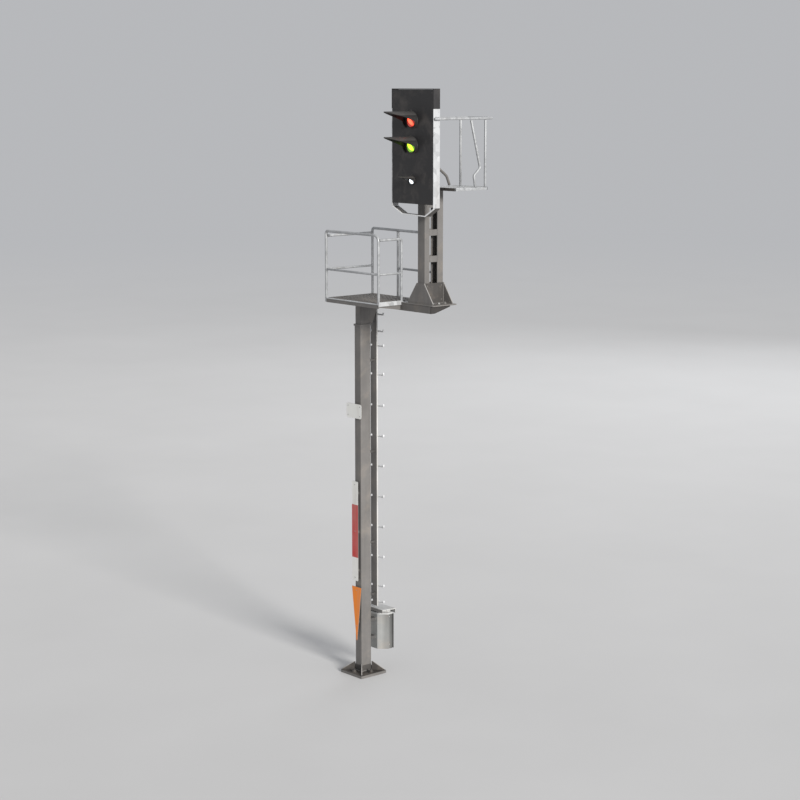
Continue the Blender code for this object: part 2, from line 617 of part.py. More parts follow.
# --------------------------------------------------------------- rear cage
part("cage_floor", GALV,
     [box(CAGE_SIDE - 0.012, CAGE_X1 + 0.012, 0.045, 0.6127, CAGE_FLOOR - CAGE_FLOOR_T,
          CAGE_FLOOR, 0.003)])
part("cage_top_hoop", GALV,
     [sweep(fillet([(CAGE_X1, HEAD_F, CAGE_Z), (CAGE_X1, CAGE_END, CAGE_Z),
                    (CAGE_X0, CAGE_END, CAGE_Z), (CAGE_X0, HEAD_R + GAP, CAGE_Z)],
                   (0.050, 0.050), 5), RAIL_R, 10)], smooth=True)
post_low, post_high = CAGE_FLOOR + GAP, CAGE_Z - RAIL_R - GAP
for label, x in (("near", CAGE_X1), ("far", CAGE_X0)):
    part("cage_post_" + label, GALV,
         [rod((x, CAGE_POST_Y[label], post_low), (x, CAGE_POST_Y[label], post_high),
              RAIL_R, 10)], smooth=True)
part("cage_kinked_bar", GALV,
     [sweep([(CAGE_X1, 0.3252, post_high - 0.004), (CAGE_X1, 0.4877, 7.1066),
             (CAGE_X1, 0.3780, 7.0100), (CAGE_X1, 0.4020, post_low + 0.004)], 0.0140, 8)],
     smooth=True)
part("cage_curved_bar", GALV,
     [sweep(fillet([(CAGE_SIDE, HEAD_R + GAP + 0.006, 7.230), (CAGE_SIDE, 0.200, 7.115),
                    (CAGE_SIDE, 0.375, 6.990), (CAGE_SIDE, 0.4262, post_low + 0.008)],
                   (0.30, 0.13), 5), 0.0180, 8)], smooth=True)

# ------------------------------------------------------------------- ladder
rung_y = RUNG_Y
steps = [sweep([(-RUNG_HALF, rung_y, z + 0.032), (-RUNG_HALF, rung_y, z),
                (RUNG_HALF, rung_y, z), (RUNG_HALF, rung_y, z + 0.032)], RUNG_R, 6)
         for z in RUNGS]
stays = [box(-0.022, 0.012, MAST_Y + GAP, STILE_Y0 + 0.006, z - 0.016, z + 0.016)
         for z in (4.430, 3.150, 1.860, 1.110)]
part("ladder", GALV,
     [box(STILE_X0, STILE_X1, STILE_Y0, STILE_Y1, 0.935, 5.212, 0.003)] + steps + stays)

# -------------------------------------------------------------------- signs
sign_f = -MAST_Y - 0.034


def board(outline, lug_zs, t=0.012):
    solids = [prism("y", outline, sign_f, sign_f + t)]
    for z in lug_zs:
        solids.append(box(-0.026, 0.026, sign_f + t - 0.004, -MAST_Y - GAP,
                          z - 0.018, z + 0.018))
    return solids


part("designation_plate", WHITE,
     board(rounded(-0.2010, 0.1190, 3.646, 3.848, 0.030, 4), (3.700, 3.795)))
part("mast_board", WHITE,
     board(rounded(-0.0915, 0.0345, 1.348, 2.760, 0.010, 2), (1.500, 2.050, 2.600)))
part("triangle_board", YELLOW,
     board([(-0.0970, 1.262), (0.1000, 1.262), (0.1000, 1.250), (0.0085, 0.494),
            (-0.0045, 0.494), (-0.0970, 1.250)], (1.130, 0.760)))

# ------------------------------------------------------------- junction box
def box_outline(inset, rear):
    h, c, y0 = BOX_HALF - inset, BOX_CHAMFER, BOX_Y0 + inset
    k = 0.41 * inset
    return [(-h, rear), (-h, y0 + c - k), (-h + c - k, y0), (h - c + k, y0),
            (h, y0 + c - k), (h, rear)]


lug = [box(-0.060, 0.060, MAST_Y + GAP, BOX_Y0 + 0.004, z - 0.020, z + 0.020)
       for z in (0.500, 0.760)]
part("junction_box_body", LIGHT,
     [prism("z", box_outline(0, BOX_Y1), BOX_Z0, BOX_Z1)] + lug
     + [turned([(BOX_Z0 - 0.045, 0.020), (BOX_Z0 + 0.004, 0.020)], (-0.080, 0.300, 0), "z", 12),
        turned([(BOX_Z0 - 0.022, 0.030), (BOX_Z0 + 0.004, 0.030)], (-0.080, 0.300, 0), "z", 12)],
     [prism("z", box_outline(BOX_WALL, BOX_Y1 + 0.05), BOX_Z0 + BOX_WALL, BOX_Z1 - BOX_WALL),
      rod((-0.080, 0.300, BOX_Z0 - 0.08), (-0.080, 0.300, BOX_Z0 + 0.03), 0.012, 12)])
part("junction_box_roof", LIGHT,
     [prism("x", [(0.168, 0.868), (0.180, 0.868), (0.180, 0.898), (0.413, 0.887),
                  (0.417, 0.832), (0.425, 0.832), (0.422, 0.899), (0.168, 0.912)],
            -0.205, 0.205),
      prism("z", box_outline(0.020, BOX_Y1 - 0.02), BOX_Z1 + GAP, 0.900)])
door_y = BOX_Y1 + GAP
jp_x, jp_y = -BOX_HALF - 0.0145, door_y + 0.006
jz0, jz1 = BOX_Z0 + 0.006, BOX_Z1 - 0.024
jk = [(jz0 + 0.060, jz0 + 0.120), (jz1 - 0.120, jz1 - 0.060)]
jdoor = [box(-BOX_HALF + 0.012, BOX_HALF + 0.014, door_y, door_y + 0.012, jz0, jz1)]
for z0, z1 in jk:
    jdoor.append(rod((jp_x, jp_y, z0), (jp_x, jp_y, z1), 0.0115, 14))
    jdoor.append(box(jp_x, -BOX_HALF + 0.016, door_y + 0.001, door_y + 0.011, z0, z1))
part("junction_box_door", LIGHT, jdoor,
     [rod((jp_x, jp_y, z0 - 0.01), (jp_x, jp_y, z1 + 0.01), 0.0060, 14) for z0, z1 in jk]
     + [rod((0.140, door_y - 0.03, 0.610), (0.140, door_y + 0.05, 0.610), 0.0135, 18)],
     origin=(jp_x, jp_y, (jz0 + jz1) / 2))
part("junction_box_pin", STEEL,
     [rod((jp_x, jp_y, jz0 + 0.030), (jp_x, jp_y, jz1 - 0.030), 0.0045, 14)]
     + [prism("z", [(jp_x - 0.010, jp_y + 0.008), (jp_x - 0.010, 0.330),
                    (-BOX_HALF - GAP, 0.330), (-BOX_HALF - GAP, jp_y - 0.004),
                    (jp_x + 0.010, jp_y - 0.004), (jp_x + 0.010, jp_y + 0.008)], z0, z1)
        for z0, z1 in ((jz0 + 0.030, jz0 + 0.056), (jz1 - 0.056, jz1 - 0.030))])
part("junction_box_latch", STEEL,
     [turned([(door_y - 0.020, 0.011), (door_y + 0.018, 0.011)], (0.140, 0, 0.610), "y", 18),
      turned([(door_y + 0.014, 0.022), (door_y + 0.026, 0.022)], (0.140, 0, 0.610), "y", 18),
      box(0.134, 0.172, door_y - 0.024, door_y - 0.014, 0.600, 0.620),
      box(0.134, 0.146, door_y + 0.024, door_y + 0.034, 0.590, 0.630)],
     origin=(0.140, door_y, 0.610))
part("terminal_block", BRASS,
     [box(-0.074, 0.074, BOX_Y0 + BOX_WALL + GAP, BOX_Y0 + 0.060, 0.600, 0.712),
      box(-0.078, 0.078, BOX_Y0 + BOX_WALL + GAP, BOX_Y0 + 0.030, 0.590, 0.722)])
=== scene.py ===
import math
import random

import bmesh
import bpy
from mathutils import Matrix, Vector


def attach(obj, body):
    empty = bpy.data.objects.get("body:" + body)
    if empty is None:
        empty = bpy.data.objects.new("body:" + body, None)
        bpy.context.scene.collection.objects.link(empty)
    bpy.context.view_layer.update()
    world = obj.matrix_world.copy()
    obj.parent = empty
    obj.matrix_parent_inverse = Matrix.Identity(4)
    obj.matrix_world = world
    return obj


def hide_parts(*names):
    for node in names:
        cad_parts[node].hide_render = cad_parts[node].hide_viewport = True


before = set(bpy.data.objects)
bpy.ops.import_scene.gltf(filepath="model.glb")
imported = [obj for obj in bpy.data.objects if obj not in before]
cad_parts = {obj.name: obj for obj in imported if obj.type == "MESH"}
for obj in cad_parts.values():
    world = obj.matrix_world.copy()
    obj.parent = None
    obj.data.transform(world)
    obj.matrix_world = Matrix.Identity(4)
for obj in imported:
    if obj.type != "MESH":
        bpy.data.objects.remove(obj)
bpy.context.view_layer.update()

S = 1 / 22.5                  # model scale; lengths below are full-size metres
G = 0.002                     # clearance between touching pieces
rng = random.Random(7)
scene = bpy.context.scene
BACKDROP, BACKDROP_STRENGTH = (0.95, 0.965, 1.0), 0.50

# ------------------------------------------------------------------- camera
AZ, EL = math.radians(48.777), math.radians(9.4754)
back = Vector((math.sin(AZ) * math.cos(EL), -math.cos(AZ) * math.cos(EL), math.sin(EL)))
cam_data = bpy.data.cameras.new("camera")
cam_data.lens, cam_data.sensor_width = 85.006, 36.0
cam_data.clip_start, cam_data.clip_end = 0.01, 50
camera = bpy.data.objects.new("camera", cam_data)
scene.collection.objects.link(camera)
camera.location = (0.87200, -0.73363, 0.36305)
camera.rotation_mode = "QUATERNION"
camera.rotation_quaternion = (-back).to_track_quat("-Z", "Y")
scene.camera = camera


# ---------------------------------------------------------------- materials
class Graph:
    """Small helper to write a material's nodes in order."""

    def __init__(self, name):
        self.mat = bpy.data.materials.new(name)
        self.mat.use_nodes = True
        self.tree = self.mat.node_tree
        self.bsdf = self.tree.nodes["Principled BSDF"]
        self.coord = self.add("ShaderNodeTexCoord").outputs["Object"]

    def add(self, kind, **settings):
        node = self.tree.nodes.new(kind)
        for key, value in settings.items():
            setattr(node, key, value)
        return node

    def link(self, a, b):
        self.tree.links.new(a, b)

    def stretch(self, x, y, z):
        node = self.add("ShaderNodeMapping")
        node.inputs["Scale"].default_value = (x, y, z)
        self.link(self.coord, node.inputs["Vector"])
        return node.outputs["Vector"]

    def noise(self, scale, detail=4.0, rough=0.55, vector=None, distortion=0.0):
        node = self.add("ShaderNodeTexNoise")
        node.inputs["Scale"].default_value = scale
        node.inputs["Detail"].default_value = detail
        node.inputs["Roughness"].default_value = rough
        node.inputs["Distortion"].default_value = distortion
        self.link(vector or self.coord, node.inputs["Vector"])
        return node.outputs["Fac"]

    def voronoi(self, scale, feature="F1", output="Distance", vector=None):
        node = self.add("ShaderNodeTexVoronoi", feature=feature)
        node.inputs["Scale"].default_value = scale
        self.link(vector or self.coord, node.inputs["Vector"])
        return node.outputs[output]

    def ramp(self, fac, stops, mode="LINEAR"):
        node = self.add("ShaderNodeValToRGB")
        ramp = node.color_ramp
        ramp.interpolation = mode
        while len(ramp.elements) < len(stops):
            ramp.elements.new(0.5)
        for element, (position, colour) in zip(ramp.elements, stops):
            element.position = position
            if isinstance(colour, (int, float)):
                colour = (colour, colour, colour)
            element.color = (*colour, 1)
        self.link(fac, node.inputs["Fac"])
        return node.outputs["Color"]

    def math(self, operation, a, b=None, clamp=False):
        node = self.add("ShaderNodeMath", operation=operation, use_clamp=clamp)
        for k, value in enumerate((a, b)):
            if value is None:
                continue
            if isinstance(value, (int, float)):
                node.inputs[k].default_value = value
            else:
                self.link(value, node.inputs[k])
        return node.outputs[0]

    def mix(self, fac, a, b, blend="MIX"):
        node = self.add("ShaderNodeMix", data_type="RGBA", blend_type=blend)
        for key, value in ((0, fac), (6, a), (7, b)):
            if isinstance(value, (int, float)):
                node.inputs[key].default_value = value
            elif isinstance(value, tuple):
                node.inputs[key].default_value = (*value, 1)
            else:
                self.link(value, node.inputs[key])
        return node.outputs[2]

    def axis(self, name):
        node = self.add("ShaderNodeSeparateXYZ")
        self.link(self.coord, node.inputs[0])
        return node.outputs[name]

    def bump(self, height, strength, distance):
        node = self.add("ShaderNodeBump")
        node.inputs["Strength"].default_value = strength
        node.inputs["Distance"].default_value = distance
        self.link(height, node.inputs["Height"])
        self.link(node.outputs["Normal"], self.bsdf.inputs["Normal"])

    def set(self, **values):
        for key, value in values.items():
            socket = self.bsdf.inputs[key.replace("_", " ")]
            if isinstance(value, (int, float)):
                socket.default_value = value
            elif isinstance(value, tuple):
                socket.default_value = (*value, 1) if len(value) == 3 else value
            else:
                self.link(value, socket)


def shade(colour, k):
    return tuple(min(1.0, c * k) for c in colour)


def painted(name, colour, dust=(0.30, 0.255, 0.21), dust_amount=0.30, rust=0.0,
            rough=(0.42, 0.62), streak=0.35, grain=0.5, painted_light_zones=(), painted_shade_fade=None):
    """Sprayed paint: uneven film, fine orange peel, rain streaks, road dust and chips; the zone tints and the ramp
    along an axis add painted highlight and painted shade.
    """
    g = Graph(name)
    broad = g.noise(38, 5, 0.6)
    fine = g.noise(900, 3, 0.6)
    drips = g.noise(260, 4, 0.6, g.stretch(1, 1, 0.045))
    body = g.ramp(broad, [(0.30, shade(colour, 0.80)), (0.52, colour), (0.74, shade(colour, 1.22))])
    body = g.mix(g.ramp(drips, [(0.46, 0.0), (0.70, streak)]), body, shade(colour, 0.62))
    dusty = g.noise(95, 6, 0.65, None, 0.4)
    body = g.mix(g.ramp(dusty, [(0.50, 0.0), (0.72, dust_amount)]), body, dust)
    speck = g.voronoi(1500)
    body = g.mix(g.ramp(speck, [(0.05, 0.35), (0.16, 0.0)]), body, shade(colour, 1.7))
    if rust:
        spots = g.noise(170, 7, 0.7, None, 0.8)
        body = g.mix(g.ramp(spots, [(0.66, 0.0), (0.74, rust)]), body, (0.17, 0.062, 0.026))
    # fade: multiplies the colour by a ramp along one axis, used as painted shade
    if painted_shade_fade:
        axis, start, end, gain = painted_shade_fade
        along = g.math("DIVIDE", g.math("SUBTRACT", g.axis(axis), start * S), (end - start) * S)
        body = g.mix(1.0, body, g.ramp(along, [(0.0, (gain[0],) * 3), (1.0, (gain[1],) * 3)]),
                     "MULTIPLY")
    # zones: flat tints over part of the surface, used as painted highlight and painted shade
    for axis, edge, below, tint in painted_light_zones:
        side = g.math("LESS_THAN" if below else "GREATER_THAN", g.axis(axis), edge * S)
        body = g.mix(g.math("MULTIPLY", side, 0.9), body,
                     g.ramp(broad, [(0.30, shade(tint, 0.80)), (0.74, shade(tint, 1.22))]))
    g.set(Base_Color=body, Metallic=0.0, Specular_IOR_Level=0.45,
          Roughness=g.ramp(g.math("ADD", broad, g.math("MULTIPLY", fine, 0.25)),
                           [(0.35, rough[0]), (0.85, rough[1])]))
    peel = g.math("ADD", g.math("MULTIPLY", fine, 0.6), g.math("MULTIPLY", g.noise(330, 3), 0.9))
    g.bump(peel, grain, 0.00005)
    return g.mat


def galvanised(name, colour=(0.36, 0.37, 0.38), metallic=0.30, rough=(0.34, 0.55), spangle=520,
               tarnish=0.22):
    """Hot-dip zinc: small spangles, dull white bloom and brownish run-off."""
    g = Graph(name)
    cells = g.voronoi(spangle, "F1", "Color")
    grey = g.add("ShaderNodeSeparateColor")
    g.link(cells, grey.inputs[0])
    body = g.ramp(grey.outputs[0], [(0.0, shade(colour, 0.86)), (0.5, colour),
                                    (1.0, shade(colour, 1.14))])
    bloom = g.noise(70, 6, 0.65)
    body = g.mix(g.ramp(bloom, [(0.45, 0.0), (0.72, 0.30)]), body, shade(colour, 1.25))
    runs = g.noise(240, 5, 0.62, g.stretch(1, 1, 0.06))
    body = g.mix(g.ramp(runs, [(0.52, 0.0), (0.74, tarnish)]), body, shade((0.62, 0.53, 0.45), colour[0]))
    spots = g.noise(380, 6, 0.7)
    body = g.mix(g.ramp(spots, [(0.67, 0.0), (0.76, 0.40)]), body, (0.20, 0.17, 0.15))
    g.set(Base_Color=body, Metallic=metallic,
          Roughness=g.ramp(g.math("ADD", grey.outputs[0], bloom), [(0.5, rough[0]), (1.5, rough[1])]))
    g.bump(g.math("ADD", g.noise(1400, 3), g.math("MULTIPLY", g.noise(260, 3), 1.5)), 0.35, 0.00004)
    return g.mat


def turned_steel(name, colour=(0.50, 0.50, 0.49)):
    g = Graph(name)
    lines = g.noise(2600, 2, 0.5, g.stretch(0.05, 0.05, 1))
    dull = g.noise(160, 5, 0.6)
    body = g.ramp(g.math("ADD", g.math("MULTIPLY", lines, 0.5), g.math("MULTIPLY", dull, 0.5)),
                  [(0.30, shade(colour, 0.62)), (0.60, colour), (0.80, shade(colour, 1.25))])
    body = g.mix(g.ramp(g.noise(420, 6, 0.7), [(0.58, 0.0), (0.72, 0.6)]), body,
                 (0.20, 0.095, 0.045))
    g.set(Base_Color=body, Metallic=0.85, Roughness=g.ramp(dull, [(0.3, 0.30), (0.8, 0.58)]))
    g.bump(lines, 0.25, 0.00003)
    return g.mat


def enamel(name, colour, second=None, limits=None):
    """Stove enamel sign face: slight chalking, dirt streaks, small chips; edges and back dark grey, on the edges as
    painted shade.
    """
    g = Graph(name)
    broad = g.noise(55, 5, 0.6)
    base = colour
    if second:
        z = g.axis("Z")
        low, high = limits
        inside = g.math("MULTIPLY", g.math("GREATER_THAN", z, low), g.math("LESS_THAN", z, high))
        base = g.mix(inside, colour, second)
    body = g.mix(g.ramp(broad, [(0.35, 0.0), (0.80, 0.22)]), base, shade(colour, 0.72))
    body = g.mix(g.ramp(g.noise(230, 5, 0.6, g.stretch(1, 1, 0.08)), [(0.52, 0.0), (0.76, 0.30)]),
                 body, (0.36, 0.30, 0.24))
    body = g.mix(g.ramp(g.noise(520, 6, 0.7), [(0.70, 0.0), (0.76, 0.75)]), body,
                 (0.12, 0.085, 0.07))
    # everything behind the face is dark grey: painted shade on the edges, plain grey on the back
    behind = g.math("GREATER_THAN", g.axis("Y"), -0.1222 * S)
    body = g.mix(behind, body, (0.13, 0.126, 0.122))
    g.set(Base_Color=body, Roughness=g.ramp(broad, [(0.3, 0.26), (0.8, 0.48)]),
          Specular_IOR_Level=0.5)
    g.bump(g.math("ADD", g.noise(800, 3), g.noise(150, 3)), 0.22, 0.00005)
    return g.mat


def tread(name):
    """Dark work platform: scuffed steel with patches of dust."""
    g = Graph(name)
    broad = g.noise(46, 6, 0.62)
    body = g.ramp(broad, [(0.30, (0.060, 0.056, 0.052)), (0.55, (0.115, 0.106, 0.098)),
                          (0.78, (0.20, 0.185, 0.165))])
    body = g.mix(g.ramp(g.noise(520, 5, 0.65), [(0.52, 0.0), (0.70, 0.35)]), body,
                 (0.26, 0.235, 0.21))
    g.set(Base_Color=body, Metallic=0.15, Roughness=g.ramp(broad, [(0.3, 0.45), (0.8, 0.72)]))
    g.bump(g.noise(1200, 3), 0.4, 0.00004)
    return g.mat


def lamp_glass(name, colour, glow, strength, centre, size):
    """Lit lens: rings of a stepped lens over a slanting bright spot; the dimming towards the upper right and lower
    left is painted shade from the hood.
    """
    g = Graph(name)
    offset = g.add("ShaderNodeVectorMath", operation="SUBTRACT")
    g.link(g.coord, offset.inputs[0])
    offset.inputs[1].default_value = centre
    flat = g.add("ShaderNodeVectorMath", operation="MULTIPLY")
    g.link(offset.outputs[0], flat.inputs[0])
    flat.inputs[1].default_value = (1, 0, 1)
    reach = g.add("ShaderNodeVectorMath", operation="LENGTH")
    g.link(flat.outputs[0], reach.inputs[0])
    radius = reach.outputs["Value"]
    # the spot is long from upper left to lower right and short across, so the glow dims at the upper right and lower
    # left: painted shade from the hood
    spread = []
    for direction in ((-0.76, 0, 0.65), (1.62, 0, 1.90)):
        part = g.add("ShaderNodeVectorMath", operation="DOT_PRODUCT")
        g.link(offset.outputs[0], part.inputs[0])
        part.inputs[1].default_value = direction
        spread.append(g.math("POWER", g.math("ABSOLUTE", part.outputs["Value"]), 2.0))
    spot = g.math("DIVIDE", g.math("SQRT", g.math("ADD", *spread)), 1.14 * size)
    rings = g.math("ABSOLUTE", g.math("SINE", g.math("MULTIPLY", radius, 2 * math.pi / 0.00062)))
    dirt = g.noise(700, 5, 0.6)
    light = g.ramp(spot, [(0.0, shade(glow, 1.0)), (0.62, shade(glow, 0.85)),
                          (0.86, shade(glow, 0.30)), (1.0, shade(glow, 0.06))])
    light = g.mix(g.ramp(rings, [(0.0, 0.35), (0.5, 0.0)]), light, shade(glow, 0.05))
    g.set(Base_Color=g.mix(g.ramp(dirt, [(0.55, 0.0), (0.80, 0.5)]), colour, shade(colour, 0.4)),
          Roughness=g.ramp(dirt, [(0.3, 0.06), (0.8, 0.22)]), Emission_Color=light,
          Emission_Strength=strength, Coat_Weight=0.6, Coat_Roughness=0.06)
    g.bump(rings, 0.35, 0.00005)
    return g.mat


def moulded(name, colour, rough=(0.35, 0.55)):
    g = Graph(name)
    broad = g.noise(120, 5, 0.6)
    fine = g.noise(2200, 3, 0.5)
    body = g.ramp(broad, [(0.3, shade(colour, 0.78)), (0.55, colour), (0.8, shade(colour, 1.2))])
    g.set(Base_Color=body, Roughness=g.ramp(g.math("ADD", broad, g.math("MULTIPLY", fine, 0.3)),
                                            [(0.4, rough[0]), (0.9, rough[1])]))
    g.bump(fine, 0.3, 0.00003)
    return g.mat


def floor_material():
    """Pale paper floor that fades into the backdrop far from the object."""
    g = Graph("studio_floor")
    g.set(Base_Color=g.ramp(g.noise(6, 3), [(0.3, (0.56, 0.56, 0.56)), (0.8, (0.59, 0.59, 0.59))]),
          Roughness=0.75, Specular_IOR_Level=0.15)
    reach = g.add("ShaderNodeVectorMath", operation="LENGTH")
    g.link(g.coord, reach.inputs[0])
    far = g.ramp(g.math("MULTIPLY", reach.outputs["Value"], 1 / 6), [(0.10, 0.0), (0.60, 1.0)],
                 "EASE")
    glow = g.add("ShaderNodeEmission")
    glow.inputs["Color"].default_value = (*BACKDROP, 1)
    glow.inputs["Strength"].default_value = BACKDROP_STRENGTH
    mix = g.add("ShaderNodeMixShader")
    g.link(far, mix.inputs[0])
    g.link(g.bsdf.outputs[0], mix.inputs[1])
    g.link(glow.outputs[0], mix.inputs[2])
    out = next(n for n in g.tree.nodes if n.type == "OUTPUT_MATERIAL")
    g.link(mix.outputs[0], out.inputs["Surface"])
    return g.mat


M = {
    "mast": painted("mast_grey_paint", (0.150, 0.143, 0.137), rust=0.5),
    # outrigger beam: grey darker than the mast as painted shade from the deck above; past x 1.617 m the end is near
    # black as painted shade under the foot plate
    "beam": painted("beam_paint_painted_shade", (0.112, 0.106, 0.101), rust=0.5,
                    painted_light_zones=(("X", 1.617, False, (0.022, 0.020, 0.019)),)),
    # painted shade: near-black grey for faces the light does not reach (column foot batten, anchor nuts, front edge
    # of the cage floor)
    "shaded": painted("painted_shade_grey_paint", (0.058, 0.054, 0.051), rust=0.3),
    # lower mast: below 0.13 m, between the base ribs, the grey is darkened as painted shade
    "foot": painted("mast_paint_shaded_foot", (0.150, 0.143, 0.137), rust=0.5,
                    painted_light_zones=(("Z", 0.130, True, (0.058, 0.054, 0.051)),)),
    # base plate: top face near black as painted shade between the ribs; the sides below 0.036 m keep the mast grey
    "base": painted("base_plate_painted_shade", (0.055, 0.050, 0.046), rust=0.3,
                    painted_light_zones=(("Z", 0.036, True, (0.150, 0.143, 0.137)),)),
    # lighter grey for rib and gusset edges: a painted highlight on their upward-facing edges
    "edge": painted("lit_edge_paint", (0.30, 0.29, 0.28), rust=0.3),
    # lower hoop: dark grey, with the band in front of y -0.29 m near white as a painted highlight on the front edge
    "hoop": painted("hoop_paint_front_highlight", (0.070, 0.066, 0.062),
                    painted_light_zones=(("Y", -0.2900, True, (0.80, 0.81, 0.82)),)),
    # junction box roof: light grey, its front in front of y 0.1795 m darkened as painted shade
    "roof": painted("box_roof_paint_shaded_front", (0.50, 0.505, 0.50), dust_amount=0.15, rust=0.3,
                    painted_light_zones=(("Y", 0.1795, True, (0.16, 0.154, 0.148)),)),
    "galv": galvanised("galvanised_zinc"),
    "zinc": galvanised("galvanised_panel", (0.52, 0.53, 0.54), 0.40, spangle=300, tarnish=0.25),
    "black": painted("black_shield_paint", (0.024, 0.023, 0.024), dust=(0.12, 0.105, 0.095),
                     dust_amount=0.35, rough=(0.38, 0.60), streak=0.25, grain=0.4),
    "hood": painted("black_hood_paint", (0.046, 0.044, 0.043), dust=(0.12, 0.105, 0.095),
                    dust_amount=0.45, rough=(0.36, 0.58), streak=0.2, grain=0.4),
    "steel": turned_steel("bolt_steel"),
    "white": enamel("white_enamel_face", (0.80, 0.80, 0.77)),
    "banded": enamel("banded_enamel_face", (0.80, 0.80, 0.77), (0.50, 0.022, 0.018),
                     (1.6814 * S, 2.4314 * S)),
    "yellow": enamel("orange_enamel_face", (0.86, 0.235, 0.014)),
    # ladder stile: the +X side past x 0.0455 m is lightened as a painted highlight; the stays in front of y 0.2132 m
    # are darkened as painted shade
    "stile": painted("ladder_paint_lit_side_shaded_stays", (0.17, 0.163, 0.157), rust=0.5,
                     painted_light_zones=(("X", 0.0455, False, (0.55, 0.545, 0.53)),
                            ("Y", 0.2132, True, (0.060, 0.057, 0.055)))),
    "rung": galvanised("galvanised_rung", (0.66, 0.67, 0.68), 0.25),
    # junction box: the grey grows darker from y 0.225 m to 0.345 m as painted shade, the band above 0.826 m is
    # lightened as a painted highlight, and the lugs in front of y 0.1805 m are darkened as painted shade
    "box": painted("light_grey_paint", (0.27, 0.275, 0.27), dust=(0.36, 0.31, 0.26),
                   dust_amount=0.40, rust=0.25, streak=0.30,
                   painted_shade_fade=("Y", 0.225, 0.345, (1.15, 0.34)),
                   painted_light_zones=(("Z", 0.826, False, (0.50, 0.505, 0.50)),
                          ("Y", 0.1805, True, (0.060, 0.057, 0.055)))),
    "tread": tread("platform_tread"),
    "board": moulded("circuit_board", (0.025, 0.13, 0.055)),
    "plastic": moulded("terminal_plastic", (0.30, 0.30, 0.32)),
    "rubber": moulded("gland_rubber", (0.04, 0.04, 0.042), (0.55, 0.75)),
}

# CAD nodes that stay: material by node
LOOK = {}
for names, key in (
    (("base_plate",), "base"), (("lower_mast",), "foot"), (("junction_box_roof",), "roof"),
    (("mast_neck", "deck_frame", "column_foot",
      "column_channel_front", "column_channel_rear", "column_batten_lower",
      "column_batten_upper", "column_batten_top", "head_bracket"), "mast"),
    # the column foot batten takes the near-black grey: painted shade between the gussets
    (("outrigger_frame",), "beam"), (("column_batten_foot",), "shaded"),
    (("head_lower_hoop",), "hoop"),
    (("head_side_panel_left", "head_side_panel_right", "deck_plate", "deck_toe_board"), "zinc"),
    (("head_shield", "head_casing", "head_cap", "head_door"), "black"),
    (("head_door_pin", "head_door_lock", "junction_box_pin", "junction_box_latch"), "steel"),
    (("designation_plate",), "white"), (("mast_board",), "banded"),
    (("triangle_board",), "yellow"),
    (("junction_box_body", "junction_box_door"), "box"),
    (("lamp_board",), "board"), (("terminal_block",), "plastic"),
):
    for node in names:
        LOOK[node] = key

BEVEL = {"lower_mast": 0.00010, "head_door_pin": 0.00002, "head_door_lock": 0.00003,
         "junction_box_pin": 0.00002, "junction_box_latch": 0.00003, "lamp_board": 0.00004}
for node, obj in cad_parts.items():
    if node not in LOOK:
        continue
    mesh = obj.data
    if "custom_normal" in mesh.attributes:
        mesh.attributes.remove(mesh.attributes["custom_normal"])
    mesh.shade_smooth()
    mesh.materials.clear()
    mesh.materials.append(M[LOOK[node]])
    weld = obj.modifiers.new("weld", "WELD")
    weld.merge_threshold = 1e-6
    flat = obj.modifiers.new("flat", "DECIMATE")
    flat.decimate_type = "DISSOLVE"
    flat.angle_limit = math.radians(0.6)
    bevel = obj.modifiers.new("edge", "BEVEL")
    bevel.width = BEVEL.get(node, 0.00009)
    bevel.segments = 2
    bevel.limit_method = "ANGLE"
    bevel.angle_limit = math.radians(32)
    bevel.use_clamp_overlap = True
    bevel.miter_outer = "MITER_ARC"
    normals = obj.modifiers.new("normals", "WEIGHTED_NORMAL")
    normals.keep_sharp = False
    normals.weight = 60


# ----------------------------------------------------------------- shapes
def clean(bm):
    bmesh.ops.recalc_face_normals(bm, faces=bm.faces)
    return bm


def box(x0, x1, y0, y1, z0, z1, bevel=0.0, segments=2):
    bm = bmesh.new()
    bmesh.ops.create_cube(bm, size=1)
    for v in bm.verts:
        v.co = Vector(((x0 + x1) / 2 + v.co.x * (x1 - x0), (y0 + y1) / 2 + v.co.y * (y1 - y0),
                       (z0 + z1) / 2 + v.co.z * (z1 - z0)))
    if bevel:
        bmesh.ops.bevel(bm, geom=list(bm.edges), offset=bevel, segments=segments,
                        affect="EDGES", clamp_overlap=True, profile=0.5)
    return clean(bm)


